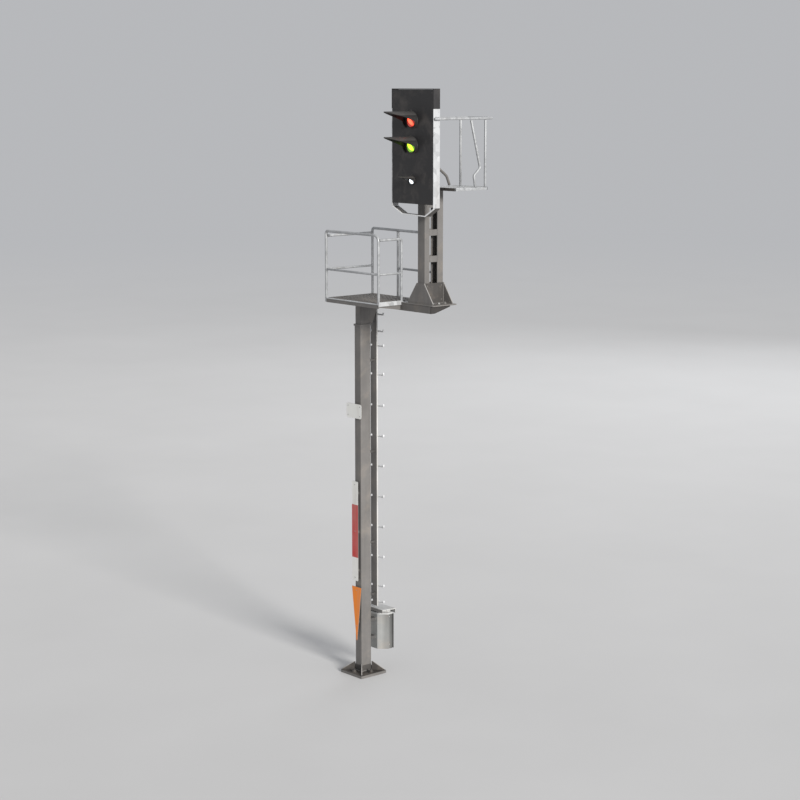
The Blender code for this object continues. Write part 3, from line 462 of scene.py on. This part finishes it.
def sweep(points, r, n=28, cap=0.35):
    """Round bar along a polyline, mitred, with slightly rounded ends."""
    pts = [Vector(p) for p in points]
    bm = bmesh.new()
    rings = []
    into = (pts[1] - pts[0]).normalized()
    ref = Vector((0, 0, 1)) if abs(into.z) < 0.9 else Vector((0, 1, 0))
    side = into.cross(ref).normalized()
    up = into.cross(side)

    def ring(p, radius, mitre):
        row = []
        for j in range(n):
            a = 2 * math.pi * (j + 0.5) / n
            off = (side * math.cos(a) + up * math.sin(a)) * radius
            off -= into * (off.dot(mitre) / into.dot(mitre))
            row.append(bm.verts.new(p + off))
        rings.append(row)

    for k, p in enumerate(pts):
        last = k == len(pts) - 1
        out = (pts[k + 1] - p).normalized() if 0 < k and not last else into
        if k == 0 and cap:
            ring(p, r * (1 - cap), into)
            ring(p + into * r * cap * 0.35, r * (1 - cap * 0.3), into)
            ring(p + into * r * cap, r, into)
        elif last and cap:
            ring(p - into * r * cap, r, into)
            ring(p - into * r * cap * 0.35, r * (1 - cap * 0.3), into)
            ring(p, r * (1 - cap), into)
        else:
            ring(p, r, (into + out).normalized())
        turn = into.rotation_difference(out)
        side, up, into = turn @ side, turn @ up, out
    for a, b in zip(rings, rings[1:]):
        for j in range(n):
            m = (j + 1) % n
            bm.faces.new((a[j], a[m], b[m], b[j]))
    bm.faces.new(rings[0])
    bm.faces.new(rings[-1])
    return clean(bm)


def fillet(points, radii, steps=12):
    pts = [Vector(p) for p in points]
    out = [pts[0]]
    for k in range(1, len(pts) - 1):
        r = radii[k - 1]
        a = (pts[k - 1] - pts[k]).normalized()
        b = (pts[k + 1] - pts[k]).normalized()
        if r <= 0:
            out.append(pts[k])
            continue
        half = math.acos(max(-1, min(1, a.dot(b)))) / 2
        centre = pts[k] + (a + b).normalized() * (r / math.sin(half))
        s = pts[k] + a * (r / math.tan(half)) - centre
        e = pts[k] + b * (r / math.tan(half)) - centre
        angle = math.pi - 2 * half
        for j in range(steps + 1):
            t = j / steps
            out.append(centre + s * (math.sin((1 - t) * angle) / math.sin(angle))
                       + e * (math.sin(t * angle) / math.sin(angle)))
    out.append(pts[-1])
    return out


def turned(profile, centre, axis=(0, 0, 1), n=32, phase=0.0, sides=None):
    """Solid of revolution about `axis` through `centre`; profile is (distance, radius)."""
    axis = Vector(axis).normalized()
    ref = Vector((0, 0, 1)) if abs(axis.z) < 0.9 else Vector((0, 1, 0))
    u = axis.cross(ref).normalized()
    w = axis.cross(u)
    bm = bmesh.new()
    rows = []
    n = sides or n
    for d, r in profile:
        if r == 0:
            rows.append([bm.verts.new(Vector(centre) + axis * d)])
            continue
        rows.append([bm.verts.new(Vector(centre) + axis * d
                                  + (u * math.cos(2 * math.pi * j / n + phase)
                                     + w * math.sin(2 * math.pi * j / n + phase)) * r)
                     for j in range(n)])
    for a, b in zip(rows, rows[1:]):
        for j in range(n):
            m = (j + 1) % n
            if len(a) == 1:
                bm.faces.new((a[0], b[m], b[j]))
            elif len(b) == 1:
                bm.faces.new((a[j], a[m], b[0]))
            else:
                bm.faces.new((a[j], a[m], b[m], b[j]))
    for row in (rows[0], rows[-1]):
        if len(row) > 1:
            bm.faces.new(row)
    return clean(bm)


def hexbolt(centre, axis, r, h=None, washer=True, stud=0.0, phase=0.3):
    """Hexagon head or nut on a washer; a stud may stand out of it."""
    h = h or r * 0.85
    parts = []
    base = 0.0
    if washer:
        base = r * 0.18
        parts.append(turned([(0, r * 1.32), (base * 0.7, r * 1.36), (base, r * 1.28)],
                            centre, axis, 28))
    parts.append(turned([(base, r * 0.96), (base + h * 0.06, r), (base + h * 0.80, r),
                         (base + h, r * 0.84)], centre, axis, sides=6, phase=phase))
    if stud:
        top = base + h
        rows = [(top - 0.002, r * 0.50)]
        turns = max(3, int(stud / (r * 0.13)))
        for k in range(turns):
            z = top + stud * k / turns
            rows += [(z, r * 0.50), (z + stud * 0.5 / turns, r * 0.44)]
        rows += [(top + stud, r * 0.46), (top + stud + r * 0.08, r * 0.36)]
        parts.append(turned(rows, centre, axis, 20))
    return parts


def screw_head(centre, axis, r):
    """Domed cross-slot screw seen as a low dome with a rim."""
    return [turned([(0, r), (r * 0.18, r * 0.98), (r * 0.36, r * 0.80), (r * 0.46, r * 0.50),
                    (r * 0.40, r * 0.22), (r * 0.36, 0)], centre, axis, 20)]


def bead(points, r, seed, closed=False):
    """Weld bead: a rippled fillet laid along a polyline."""
    local = random.Random(seed)
    path = [Vector(p) for p in points]
    if closed:
        path.append(path[0])
    dense = []
    for a, b in zip(path, path[1:]):
        steps = max(2, int((b - a).length / (r * 0.9)))
        for k in range(steps):
            dense.append(a.lerp(b, k / steps))
    dense.append(path[-1])
    bm = bmesh.new()
    rings = []
    n = 8
    for k, p in enumerate(dense):
        t = (dense[min(k + 1, len(dense) - 1)] - dense[max(k - 1, 0)]).normalized()
        ref = Vector((0, 0, 1)) if abs(t.z) < 0.9 else Vector((0, 1, 0))
        s = t.cross(ref).normalized()
        u = t.cross(s)
        rr = r * (0.86 + 0.20 * (k % 2) + local.uniform(-0.08, 0.08))
        rings.append([bm.verts.new(p + (s * math.cos(2 * math.pi * j / n)
                                        + u * math.sin(2 * math.pi * j / n)) * rr)
                      for j in range(n)])
    for a, b in zip(rings, rings[1:]):
        for j in range(n):
            m = (j + 1) % n
            bm.faces.new((a[j], a[m], b[m], b[j]))
    bm.faces.new(rings[0])
    bm.faces.new(rings[-1])
    return clean(bm)


def collar(centre, axis, r_tube, r_bead, seed=1, n=28):
    """Ring of weld round a tube where it meets a surface."""
    axis = Vector(axis).normalized()
    ref = Vector((0, 0, 1)) if abs(axis.z) < 0.9 else Vector((0, 1, 0))
    u = axis.cross(ref).normalized()
    w = axis.cross(u)
    pts = [Vector(centre) + (u * math.cos(2 * math.pi * k / n) + w * math.sin(2 * math.pi * k / n))
           * (r_tube + r_bead * 0.25) for k in range(n)]
    return bead(pts, r_bead, seed, closed=True)


def piece(name, solids, material, body="mast", replaces=(), angle=38):
    """One scene object made of the given solids, riding on a body."""
    mesh = bpy.data.meshes.new(name)
    bm = bmesh.new()
    for solid in solids:
        part = bpy.data.meshes.new("tmp")
        solid.to_mesh(part)
        solid.free()
        bm.from_mesh(part)
        bpy.data.meshes.remove(part)
    for v in bm.verts:
        v.co = v.co * S
    bm.to_mesh(mesh)
    bm.free()
    mesh.materials.append(material)
    mesh.shade_smooth()
    mesh.set_sharp_from_angle(angle=math.radians(angle))
    obj = bpy.data.objects.new(name, mesh)
    scene.collection.objects.link(obj)
    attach(obj, body)
    if replaces:
        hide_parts(*replaces)
    return obj


# --------------------------------------------------------------- dimensions
MX, MY = 0.0679, 0.0895
BASE_T = 0.0404
DECK_TOP, DECK_BOT = 5.350, 5.334
DX0, DX1, DY0, DY1 = -0.0355, 1.0393, -0.603, 0.2216
PX0, PX1, PY0, PY1 = -0.0555, 1.0205, -0.582, 0.2320
RPX, RPY, HOOPY, PFOOT = 0.500, 0.2108, -0.1880, 5.290
BEAM_Y0, BEAM_Y1 = -0.2133, 0.2136
RAIL_TOP, SIDE_TOP, RAIL_MID = 6.2403, 6.1773, 5.730
R, RM = 0.0180, 0.0150
CX0, CX1, CY0, CY1 = 1.3153, 1.4477, -0.1612, 0.1609
HX0, HX1, HF, HR, HT = 0.9664, 1.7747, -0.3072, -0.1968, 8.1207
FLOOR = DECK_TOP + G

# --------------------------------------------------------------- foundation
for where, x, y in (("front", 0, -0.172), ("right", 0.160, 0), ("rear", 0, 0.172),
                    ("left", -0.160, 0)):
    solids = [turned([(0, 0.039), (0.004, 0.040), (0.0055, 0.038)], (x, y, BASE_T + G), n=36)]
    solids += hexbolt((x, y, BASE_T + G + 0.005), (0, 0, 1), 0.029, 0.024, washer=False,
                      stud=0.016, phase=rng.uniform(0, 1))
    solids.append(turned([(0.004, 0.0150), (BASE_T + G + 0.006, 0.0150)], (x, y, 0), n=24))
    # the nuts take the near-black grey of the shaded plate around them: painted shade
    piece("anchor_nut_" + where, solids, M["shaded"], replaces=("anchor_bolt_" + where,))
corner = [(MX, MY), (-MX, MY), (-MX, -MY), (MX, -MY)]
piece("base_weld", [bead([(x, y, BASE_T + 0.003) for x, y in corner], 0.0075, 3, closed=True)],
      M["mast"])
# thin bars along the base rib edges in the lighter grey: painted highlight on the lit edges
lit_edges = []
for sx, sy in ((1, 1), (-1, 1), (-1, -1), (1, -1)):
    top = Vector((sx * (MX + 0.010), sy * (MY + 0.010), BASE_T + 0.119))
    low = Vector((sx * 0.2087, sy * 0.2087, BASE_T + 0.010))
    lit_edges.append(sweep([tuple(top), tuple(low)], 0.0062, 12))
piece("base_rib_edges", lit_edges, M["edge"])

# ------------------------------------------------------------------- ladder
RUNGS = (5.062, 4.830, 4.627, 4.227, 3.792, 3.366, 2.941, 2.509, 2.078, 1.645, 1.227, 0.996)
RY, RH = 0.2435, 0.1550
stile = [box(-0.085, 0.048, 0.214, 0.236, 0.935, 5.212, 0.004, 3)]
nuts = []
steps = []
for k, z in enumerate(RUNGS):
    steps.append(sweep(fillet([(-RH, RY, z + 0.032), (-RH, RY, z), (RH, RY, z),
                               (RH, RY, z + 0.032)], (0.010, 0.010), 8), 0.0112, 20, cap=0.5))
    for x in (-0.088, 0.050):
        stile.append(collar((x, RY, z), (1, 0, 0), 0.0112, 0.0035, k, 18))
    nuts += hexbolt((-0.064, 0.2138, z + 0.006), (0, -1, 0), 0.013, 0.010, stud=0.004)
for z in (4.430, 3.150, 1.860, 1.110):
    stile.append(box(-0.022, 0.012, MY + G, 0.220, z - 0.016, z + 0.016, 0.003))
    stile.append(box(-0.040, 0.032, MY + G, MY + 0.010, z - 0.034, z + 0.034, 0.003))
    for x in (-0.031, 0.022):
        stile += screw_head((x, MY + 0.010, z), (0, 1, 0), 0.007)
piece("ladder_stile", stile, M["stile"], replaces=("ladder",))
piece("ladder_rungs", steps + nuts, M["rung"])

# ------------------------------------------------------------------ railing
def flange(x, y, seed):
    """Small round foot under a post, welded to it."""
    return [turned([(0, 0.030), (0.005, 0.030), (0.007, 0.027)], (x, y, DECK_TOP + 0.0005), n=28),
            collar((x, y, DECK_TOP + 0.008), (0, 0, 1), R, 0.0045, seed, 24)]


def side_clamp(x, y, sx):
    """Two bolts through a side post into the deck edge."""
    solids = []
    for z in (DECK_TOP - 0.008, DECK_TOP - 0.045):
        solids += hexbolt((x + sx * (R - 0.002), y, z), (sx, 0, 0), 0.0085, 0.007, stud=0.004)
    return solids


hoop = sweep(fillet([(PX0, PY0, PFOOT), (PX0, PY0, RAIL_TOP), (PX1, PY0, RAIL_TOP),
                     (PX1, PY0, FLOOR)], (0.035, 0.085), 14), R, 32)
piece("railing_front_hoop", [hoop] + flange(PX1, PY0, 2) + side_clamp(PX0, PY0, -1), M["galv"],
      replaces=("rail_front_hoop",))
piece("railing_front_middle",
      [sweep([(PX0 + R, PY0, RAIL_MID), (PX1 - R, PY0, RAIL_MID)], RM, 26),
       collar((PX0 + R, PY0, RAIL_MID), (1, 0, 0), RM, 0.004, 4, 20),
       collar((PX1 - R, PY0, RAIL_MID), (1, 0, 0), RM, 0.004, 5, 20)],
      M["galv"], replaces=("rail_front_middle",))
piece("railing_left_top",
      [sweep([(PX0, PY0 + R, SIDE_TOP), (PX0, PY1 - R, SIDE_TOP)], R, 28),
       collar((PX0, PY0 + R, SIDE_TOP), (0, 1, 0), R, 0.004, 6, 20),
       collar((PX0, PY1 - R, SIDE_TOP), (0, 1, 0), R, 0.004, 7, 20)],
      M["galv"], replaces=("rail_left_top",))
piece("railing_left_middle",
      [sweep([(PX0, PY0 + R, RAIL_MID), (PX0, PY1 - R, RAIL_MID)], RM, 26),
       collar((PX0, PY0 + R, RAIL_MID), (0, 1, 0), RM, 0.004, 8, 20),
       collar((PX0, PY1 - R, RAIL_MID), (0, 1, 0), RM, 0.004, 9, 20)],
      M["galv"], replaces=("rail_left_middle",))
at_column = CY1 + R + G
piece("railing_rear_top",
      [sweep(fillet([(PX0, PY1, PFOOT), (PX0, PY1, RAIL_TOP), (CX0 - 0.030, at_column, RAIL_TOP),
                     (CX0 + 0.040, at_column, RAIL_TOP)], (0.035, 0.0), 12), R, 30),
       box(CX0 + 0.004, CX0 + 0.034, CY1 + 0.0005, CY1 + 0.012, RAIL_TOP - 0.030,
           RAIL_TOP + 0.030, 0.002)] + side_clamp(PX0, PY1, -1),
      M["galv"], replaces=("rail_rear_top",))
piece("railing_rear_post",
      [sweep([(RPX, RPY, FLOOR), (RPX, RPY, RAIL_TOP - R)], R, 28),
       collar((RPX, RPY, RAIL_TOP - R), (0, 0, 1), R, 0.004, 12, 20),
       collar((RPX, RPY, FLOOR + 0.002), (0, 0, 1), R, 0.0045, 11, 24)],
      M["galv"], replaces=("rail_rear_post",))
piece("railing_rear_middle",
      [sweep([(RPX + R, RPY, RAIL_MID), (CX0 + 0.040, CY1 + RM + G, RAIL_MID)], RM, 26),
       collar((RPX + R, RPY, RAIL_MID), (1, 0, 0), RM, 0.004, 13, 20)],
      M["galv"], replaces=("rail_rear_middle",))
piece("railing_right_hoop",
      [sweep(fillet([(PX1, PY0 + R, SIDE_TOP), (PX1, HOOPY, SIDE_TOP), (PX1, HOOPY, FLOOR)],
                    (0.030,), 12), R, 30),
       collar((PX1, PY0 + R, SIDE_TOP), (0, 1, 0), R, 0.004, 14, 20)]
      + flange(PX1, HOOPY, 15),
      M["galv"], replaces=("rail_right_hoop",))
piece("railing_right_middle",
      [sweep([(PX1, PY0 + R, RAIL_MID), (PX1, HOOPY - R, RAIL_MID)], RM, 26),
       collar((PX1, PY0 + R, RAIL_MID), (0, 1, 0), RM, 0.004, 16, 20),
       collar((PX1, HOOPY - R, RAIL_MID), (0, 1, 0), RM, 0.004, 17, 20)],
      M["galv"], replaces=("rail_right_middle",))

# ------------------------------------------------------------ platform tread
tread_parts = [box(DX0 + 0.014, DX1 - 0.014, DY0 + 0.014, DY1 - 0.012, DECK_TOP - 0.004,
                   DECK_TOP + 0.0016, 0.001)]
row = 0
y = DY0 + 0.040
while y < DY1 - 0.030:
    x = DX0 + 0.036 + (0.021 if row % 2 else 0)
    while x < DX1 - 0.034:
        a = math.radians(45 if (row + int(round(x * 24))) % 2 else -45)
        bm = bmesh.new()
        ring, top = [], []
        for k in range(8):
            t = 2 * math.pi * k / 8
            lx, ly = 0.0145 * math.cos(t), 0.0042 * math.sin(t)
            px, py = lx * math.cos(a) - ly * math.sin(a), lx * math.sin(a) + ly * math.cos(a)
            ring.append(bm.verts.new((x + px, y + py, DECK_TOP + 0.001)))
            top.append(bm.verts.new((x + px * 0.62, y + py * 0.62, DECK_TOP + 0.0052)))
        for k in range(8):
            m = (k + 1) % 8
            bm.faces.new((ring[k], ring[m], top[m], top[k]))
        bm.faces.new(top)
        bm.faces.new(ring)
        tread_parts.append(clean(bm))
        x += 0.042
    y += 0.030
    row += 1
piece("platform_tread", tread_parts, M["tread"])

# -------------------------------------------------------------- foot bolts
foot = []
for x in (CX0 - 0.100, CX1 + 0.100):
    for y in (-0.105, 0.0, 0.105):
        foot += hexbolt((x, y, DECK_TOP), (0, 0, 1), 0.019, 0.015, stud=0.008,
                        phase=rng.uniform(0, 1))
piece("column_foot_bolts", foot, M["steel"])
rivets = []
for z in (5.905, 5.960, 6.250, 6.303, 6.64, 6.78):
    for y in (-0.058, 0.047):
        rivets += screw_head((CX1 - 0.0012, y, z), (1, 0, 0), 0.0065)
        rivets += screw_head((CX0 + 0.0012, y, z), (-1, 0, 0), 0.0065)
for z in (5.40, 5.585):
    for y in (-0.125, 0.125):
        rivets += screw_head((CX1 + 0.0118, y, z), (1, 0, 0), 0.0080)
        rivets += screw_head((CX0 - 0.0118, y, z), (-1, 0, 0), 0.0080)
piece("column_rivets", rivets, M["mast"])
# thin bars along the gusset edges in the lighter grey: painted highlight on the lit edges
lit_edges = []
for y in (CY0 - G - 0.007, CY1 + G + 0.007):
    for sx, cx in ((1, CX1), (-1, CX0)):
        lit_edges.append(sweep([(cx + sx * 0.004, y, 5.6195), (cx + sx * 0.1752, y, DECK_TOP + 0.018)],
                          0.0066, 12))
piece("column_gusset_edges", lit_edges, M["edge"])
piece("column_foot_weld",
      [bead([(CX0 - 0.165, CY0 - 0.019, DECK_TOP + 0.002), (CX1 + 0.165, CY0 - 0.019, DECK_TOP + 0.002)], 0.0055, 21),
       bead([(CX0 - 0.165, CY1 + 0.019, DECK_TOP + 0.002), (CX1 + 0.165, CY1 + 0.019, DECK_TOP + 0.002)], 0.0055, 22),
       bead([(CX1 + 0.013, CY0 + 0.006, DECK_TOP + 0.002), (CX1 + 0.013, CY1 - 0.006, DECK_TOP + 0.002)], 0.0055, 23),
       bead([(CX1 + 0.0125, CY0 + 0.001, DECK_TOP + 0.01), (CX1 + 0.0125, CY0 + 0.001, 5.615)], 0.0040, 24),
       bead([(CX1 + 0.0125, CY1 - 0.001, DECK_TOP + 0.01), (CX1 + 0.0125, CY1 - 0.001, 5.615)], 0.0040, 25)],
      M["mast"])

# --------------------------------------------------------------------- head
LX = {"red": 1.345, "green": 1.345, "white": 1.360}
LZ = {"red": 7.708, "green": 7.388, "white": 6.950}
LR = {"red": 0.075, "green": 0.075, "white": 0.042}
HOODR = {"red": 0.127, "green": 0.127, "white": 0.062}
HOODL = {"red": 0.450, "green": 0.450, "white": 0.225}


def hood(cx, cz, r, length):
    """Thin tube open below, its sides cut back from the tip of its roof."""
    t = 0.0085
    n, m = 72, 14
    shelf = 0.35 * r
    root = HF - G
    bm = bmesh.new()
    grids = []
    for radius in (r, r - t):
        grid = []
        for k in range(n + 1):
            degrees = -40 + 260 * k / n
            a = math.radians(degrees)
            below = max(0.0, abs(degrees - 90) - 90)
            reach = (shelf * (1 - below / 75)
                     + (length - shelf) * max(0.0, math.sin(a)) ** 1.2)
            grid.append([bm.verts.new((cx + radius * math.cos(a), root - reach * j / m,
                                       cz + radius * math.sin(a))) for j in range(m + 1)])
        grids.append(grid)
    outer, inner = grids
    for k in range(n):
        for j in range(m):
            bm.faces.new((outer[k][j], outer[k][j + 1], outer[k + 1][j + 1], outer[k + 1][j]))
            bm.faces.new((inner[k][j], inner[k + 1][j], inner[k + 1][j + 1], inner[k][j + 1]))
        bm.faces.new((outer[k][m], inner[k][m], inner[k + 1][m], outer[k + 1][m]))
        bm.faces.new((outer[k][0], outer[k + 1][0], inner[k + 1][0], inner[k][0]))
    for k in (0, n):
        for j in range(m):
            bm.faces.new((outer[k][j], outer[k][j + 1], inner[k][j + 1], inner[k][j]))
    return clean(bm)


GLOW = {"red": ((0.65, 0.02, 0.01), (1.0, 0.10, 0.045), 3.2),
        "green": ((0.20, 0.60, 0.05), (0.55, 1.0, 0.02), 3.8),
        "white": ((0.75, 0.80, 0.85), (0.86, 0.94, 1.0), 7.0)}
for colour in ("red", "green", "white"):
    cx, cz, r = LX[colour], LZ[colour], LR[colour]
    base, glow, power = GLOW[colour]
    # lens: domed glass with a flat rim
    rows = [(0.026, r * 0.55), (0.014, r * 0.80), (0.003, r * 0.985), (-0.004, r * 0.985)]
    for k in range(1, 12):
        a = k / 12 * math.pi / 2
        rows.append((-0.004 - 0.017 * math.sin(a), r * 0.985 * math.cos(a)))
    rows.append((-0.021, 0))
    piece("lamp_lens_" + colour,
          [turned([(HF + d, q) for d, q in rows], (cx, 0, cz), (0, 1, 0), 56)],
          lamp_glass("lens_" + colour, base, glow, power, (cx * S, HF * S, cz * S), r * S),
          replaces=("lens_" + colour,), angle=50)
    ring = [turned([(HF - 0.0005, r + 0.0035), (HF - 0.009, r + 0.0045), (HF - 0.0105, r + 0.0075),
                    (HF - 0.009, r + 0.0115), (HF - 0.0005, r + 0.0130)], (cx, 0, cz),
                   (0, 1, 0), 56)]
    bm = ring[0]
    for f in [f for f in bm.faces if len(f.verts) > 8]:
        bm.faces.remove(f)
    piece("lamp_bezel_" + colour, ring, M["black"])
    solids = [hood(cx, cz, HOODR[colour], HOODL[colour])]
    # screws at the mounting ears and the rolled root flange
    rr = HOODR[colour]
    pts = []
    for k in range(25):
        a = math.radians(-40 + 260 * k / 24)
        pts.append((cx + (rr + 0.002) * math.cos(a), HF - 0.0035, cz + (rr + 0.002) * math.sin(a)))
    solids.append(sweep(pts, 0.0050, 10))
    for a in (10, 90, 170):
        ex = cx + (rr + 0.012) * math.cos(math.radians(a))
        ez = cz + (rr + 0.012) * math.sin(math.radians(a))
        solids += screw_head((ex, HF - 0.0005, ez), (0, -1, 0), 0.0085)
    # hood paint darkened below 0.62 of its radius above the lamp centre: painted shade under the lit top
    shaded = painted("hood_paint_shaded_below_" + colour, (0.050, 0.048, 0.047), dust=(0.12, 0.105, 0.095),
                     painted_light_zones=(("Z", cz + 0.62 * HOODR[colour], True, (0.013, 0.012, 0.012)),))
    piece("lamp_hood_" + colour, solids, shaded, replaces=("hood_" + colour,))

screws = []
for z in (6.70, 7.05, 7.45, 7.82, 8.07):
    for x in (HX0 + 0.032, HX1 - 0.032):
        screws += screw_head((x, HF + 0.0002, z), (0, -1, 0), 0.0075)
piece("shield_screws", screws, M["hood"])
rivets = []
for z in (6.66, 6.96, 7.26, 7.56, 7.83):
    for y in (HF + 0.018, HR - 0.018):
        rivets += screw_head((HX1 - 0.0002, y, z), (1, 0, 0), 0.0055)
        rivets += screw_head((HX0 + 0.0002, y, z), (-1, 0, 0), 0.0055)
piece("side_panel_rivets", rivets, M["zinc"])

# --------------------------------------------------------------- rear cage
GX0, GX1, GZ, GEND, GFLOOR, GSIDE = 1.310, 1.7955, 7.742, 0.715, 6.860, 1.279
GPOST = {"near": 0.5785, "far": 0.5945}
piece("cage_hoop",
      [sweep(fillet([(GX1, HF, GZ), (GX1, GEND, GZ), (GX0, GEND, GZ), (GX0, HR + G, GZ)],
                    (0.050, 0.050), 14), 0.0170, 30),
       collar((GX0, HR + G + 0.004, GZ), (0, 1, 0), R, 0.004, 31, 20),
       box(GX1 - 0.0195, GX1 - 0.010, -0.285, -0.245, GZ - 0.024, GZ + 0.024, 0.002),
       box(GX1 - 0.0195, GX1 - 0.010, -0.250 + 0.02, -0.215, GZ - 0.024, GZ + 0.024, 0.002)],
      M["galv"], replaces=("cage_top_hoop",))
for label, x, k in (("near", GX1, 32), ("far", GX0, 33)):
    piece("cage_upright_" + label,
          [sweep([(x, GPOST[label], GFLOOR + G), (x, GPOST[label], GZ - R - G)], 0.0160, 28),
           collar((x, GPOST[label], GZ - R), (0, 0, 1), 0.0150, 0.0012, k, 20),
           collar((x, GPOST[label], GFLOOR + 0.004), (0, 0, 1), 0.0150, 0.0012, k + 5, 20)],
          M["galv"], replaces=("cage_post_" + label,))
piece("cage_bent_bar",
      [sweep(fillet([(GX1, 0.3252, GZ - R - G - 0.002), (GX1, 0.4877, 7.1066),
                     (GX1, 0.3780, 7.0100), (GX1, 0.4020, GFLOOR + G + 0.003)],
                    (0.030, 0.035), 8), 0.0166, 24),
       collar((GX1, 0.402, GFLOOR + 0.004), (0, 0, 1), 0.0134, 0.0015, 35, 18)],
      M["galv"], replaces=("cage_kinked_bar",))
piece("cage_swept_bar",
      [sweep(fillet([(GSIDE, HR + G + 0.005, 7.230), (GSIDE, 0.200, 7.115), (GSIDE, 0.375, 6.990),
                     (GSIDE, 0.4262, GFLOOR + G + 0.006)], (0.30, 0.13), 12), 0.0178, 26),
       collar((GSIDE, HR + G + 0.004, 7.230), (0, 1, 0), 0.018, 0.004, 36, 18)],
      M["mast"], replaces=("cage_curved_bar",))
FX0, FX1, FY0, FY1, FT = GSIDE - 0.012, GX1 + 0.012, 0.045, 0.6127, 0.040
grate = [box(FX0, FX1, FY0, FY0 + 0.010, GFLOOR - FT, GFLOOR, 0.002),
         box(FX0, FX1, FY1 - 0.010, FY1, GFLOOR - FT, GFLOOR, 0.002),
         box(FX0, FX0 + 0.010, FY0, FY1, GFLOOR - FT, GFLOOR, 0.002),
         box(FX1 - 0.010, FX1, FY0, FY1, GFLOOR - FT, GFLOOR, 0.002)]
bars = 20
for k in range(1, bars):
    x = FX0 + (FX1 - FX0) * k / bars
    grate.append(box(x - 0.0025, x + 0.0025, FY0 + 0.004, FY1 - 0.004, GFLOOR - FT + 0.0003, GFLOOR - 0.001))
for k in range(1, 8):
    y = FY0 + (FY1 - FY0) * k / 8
    grate.append(sweep([(FX0 + 0.004, y, GFLOOR - 0.006), (FX1 - 0.004, y, GFLOOR - 0.006)], 0.0035, 8, cap=0))
for x, y, q in ((GX0, GPOST["far"], 0.016), (GX1, GPOST["near"], 0.024),
                (GSIDE, 0.426, 0.024), (GX1, 0.402, 0.020)):
    if True:
        grate.append(box(x - 0.012, x + 0.012, y - q, y + q, GFLOOR - 0.006, GFLOOR - 0.0005, 0.001))
grate.append(box(CX0 - 0.010, CX1 + 0.010, FY0 + 0.002, CY1 + 0.030, GFLOOR - FT + 0.0006,
                 GFLOOR - FT + 0.007, 0.002))
# dark strip on the floor's front edge: painted shade on the face turned away from the light
piece("cage_floor_edge_painted_shade", [box(FX0 - 0.0002, FX1 - 0.012, FY0 - 0.0003, FY0 + 0.004,
                              GFLOOR - FT + 0.0003, GFLOOR - 0.0003, 0.001)],
      M["shaded"])
piece("cage_grating", grate, M["galv"], replaces=("cage_floor",))

# -------------------------------------------------------------------- signs
sf = -MY - 0.034
heads = []
for x, z in ((-0.165, 3.682), (-0.165, 3.812), (0.083, 3.682), (0.083, 3.812),
             (-0.0285, 1.395), (-0.0285, 2.715), (-0.0285, 2.055),
             (0.0015, 1.215), (0.0015, 0.700)):
    heads += screw_head((x, sf + 0.0004, z), (0, -1, 0), 0.0075)
piece("sign_screws", heads, M["steel"])

# ------------------------------------------------------------ junction box
heads = []
for z in (0.37, 0.82):
    for x in (-0.06, 0.06):
        heads += screw_head((x, 0.182 + 0.0005, z), (0, -1, 0), 0.006)
for y in (0.32,):
    for z in (0.39, 0.79):
        heads += screw_head((0.192 - 0.0005, y, z), (1, 0, 0), 0.006)
piece("junction_box_screws", heads, M["steel"])

# ------------------------------------------------------------ lamp board
chips = []
for k, z in enumerate((6.86, 7.02, 7.16, 7.26, 7.48, 7.58, 7.78)):
    w = 0.020 + 0.012 * (k % 3)
    chips.append(box(1.245, 1.245 + w, HF + 0.044, HF + 0.053, z - 0.018, z + 0.018, 0.002))
    chips.append(box(1.420, 1.420 + w * 0.7, HF + 0.046, HF + 0.053, z - 0.012, z + 0.010, 0.002))
piece("lamp_board_chips", chips, M["rubber"])
terms = []
for k in range(6):
    x = -0.060 + 0.024 * k
    terms += screw_head((x, 0.182 + 0.0595, 0.680), (0, 1, 0), 0.007)
    terms += screw_head((x, 0.182 + 0.0595, 0.632), (0, 1, 0), 0.007)
piece("terminal_screws", terms, M["steel"])

# ------------------------------------------------------------ floor, lights
bm = bmesh.new()
bmesh.ops.create_grid(bm, x_segments=1, y_segments=1, size=60)
mesh = bpy.data.meshes.new("floor")
bm.to_mesh(mesh)
bm.free()
mesh.materials.append(floor_material())
floor = bpy.data.objects.new("floor", mesh)
floor.location = (0, 0, -0.00002)
scene.collection.objects.link(floor)

world = bpy.data.worlds.new("studio")
scene.world = world
world.use_nodes = True
world.node_tree.nodes["Background"].inputs["Color"].default_value = (*BACKDROP, 1)
world.node_tree.nodes["Background"].inputs["Strength"].default_value = BACKDROP_STRENGTH


def area(name, location, target, size, power, colour):
    data = bpy.data.lights.new(name, "AREA")
    data.shape, data.size, data.energy, data.color = "DISK", size, power, colour
    lamp = bpy.data.objects.new(name, data)
    lamp.location = location
    lamp.rotation_mode = "QUATERNION"
    lamp.rotation_quaternion = (Vector(target) - Vector(location)).to_track_quat("-Z", "Y")
    scene.collection.objects.link(lamp)


area("rear_fill", (-0.60, 1.30, 0.75), (0.03, 0, 0.20), 0.9, 4, (0.95, 0.97, 1.0))
data = bpy.data.lights.new("key", "SUN")
data.energy, data.angle, data.color = 4.2, math.radians(16), (1.0, 0.975, 0.94)
key = bpy.data.objects.new("key", data)
key.rotation_mode = "QUATERNION"
key.rotation_quaternion = Vector((-0.90, 0.16, -0.33)).to_track_quat("-Z", "Y")
scene.collection.objects.link(key)
scene.view_settings.view_transform = "Standard"
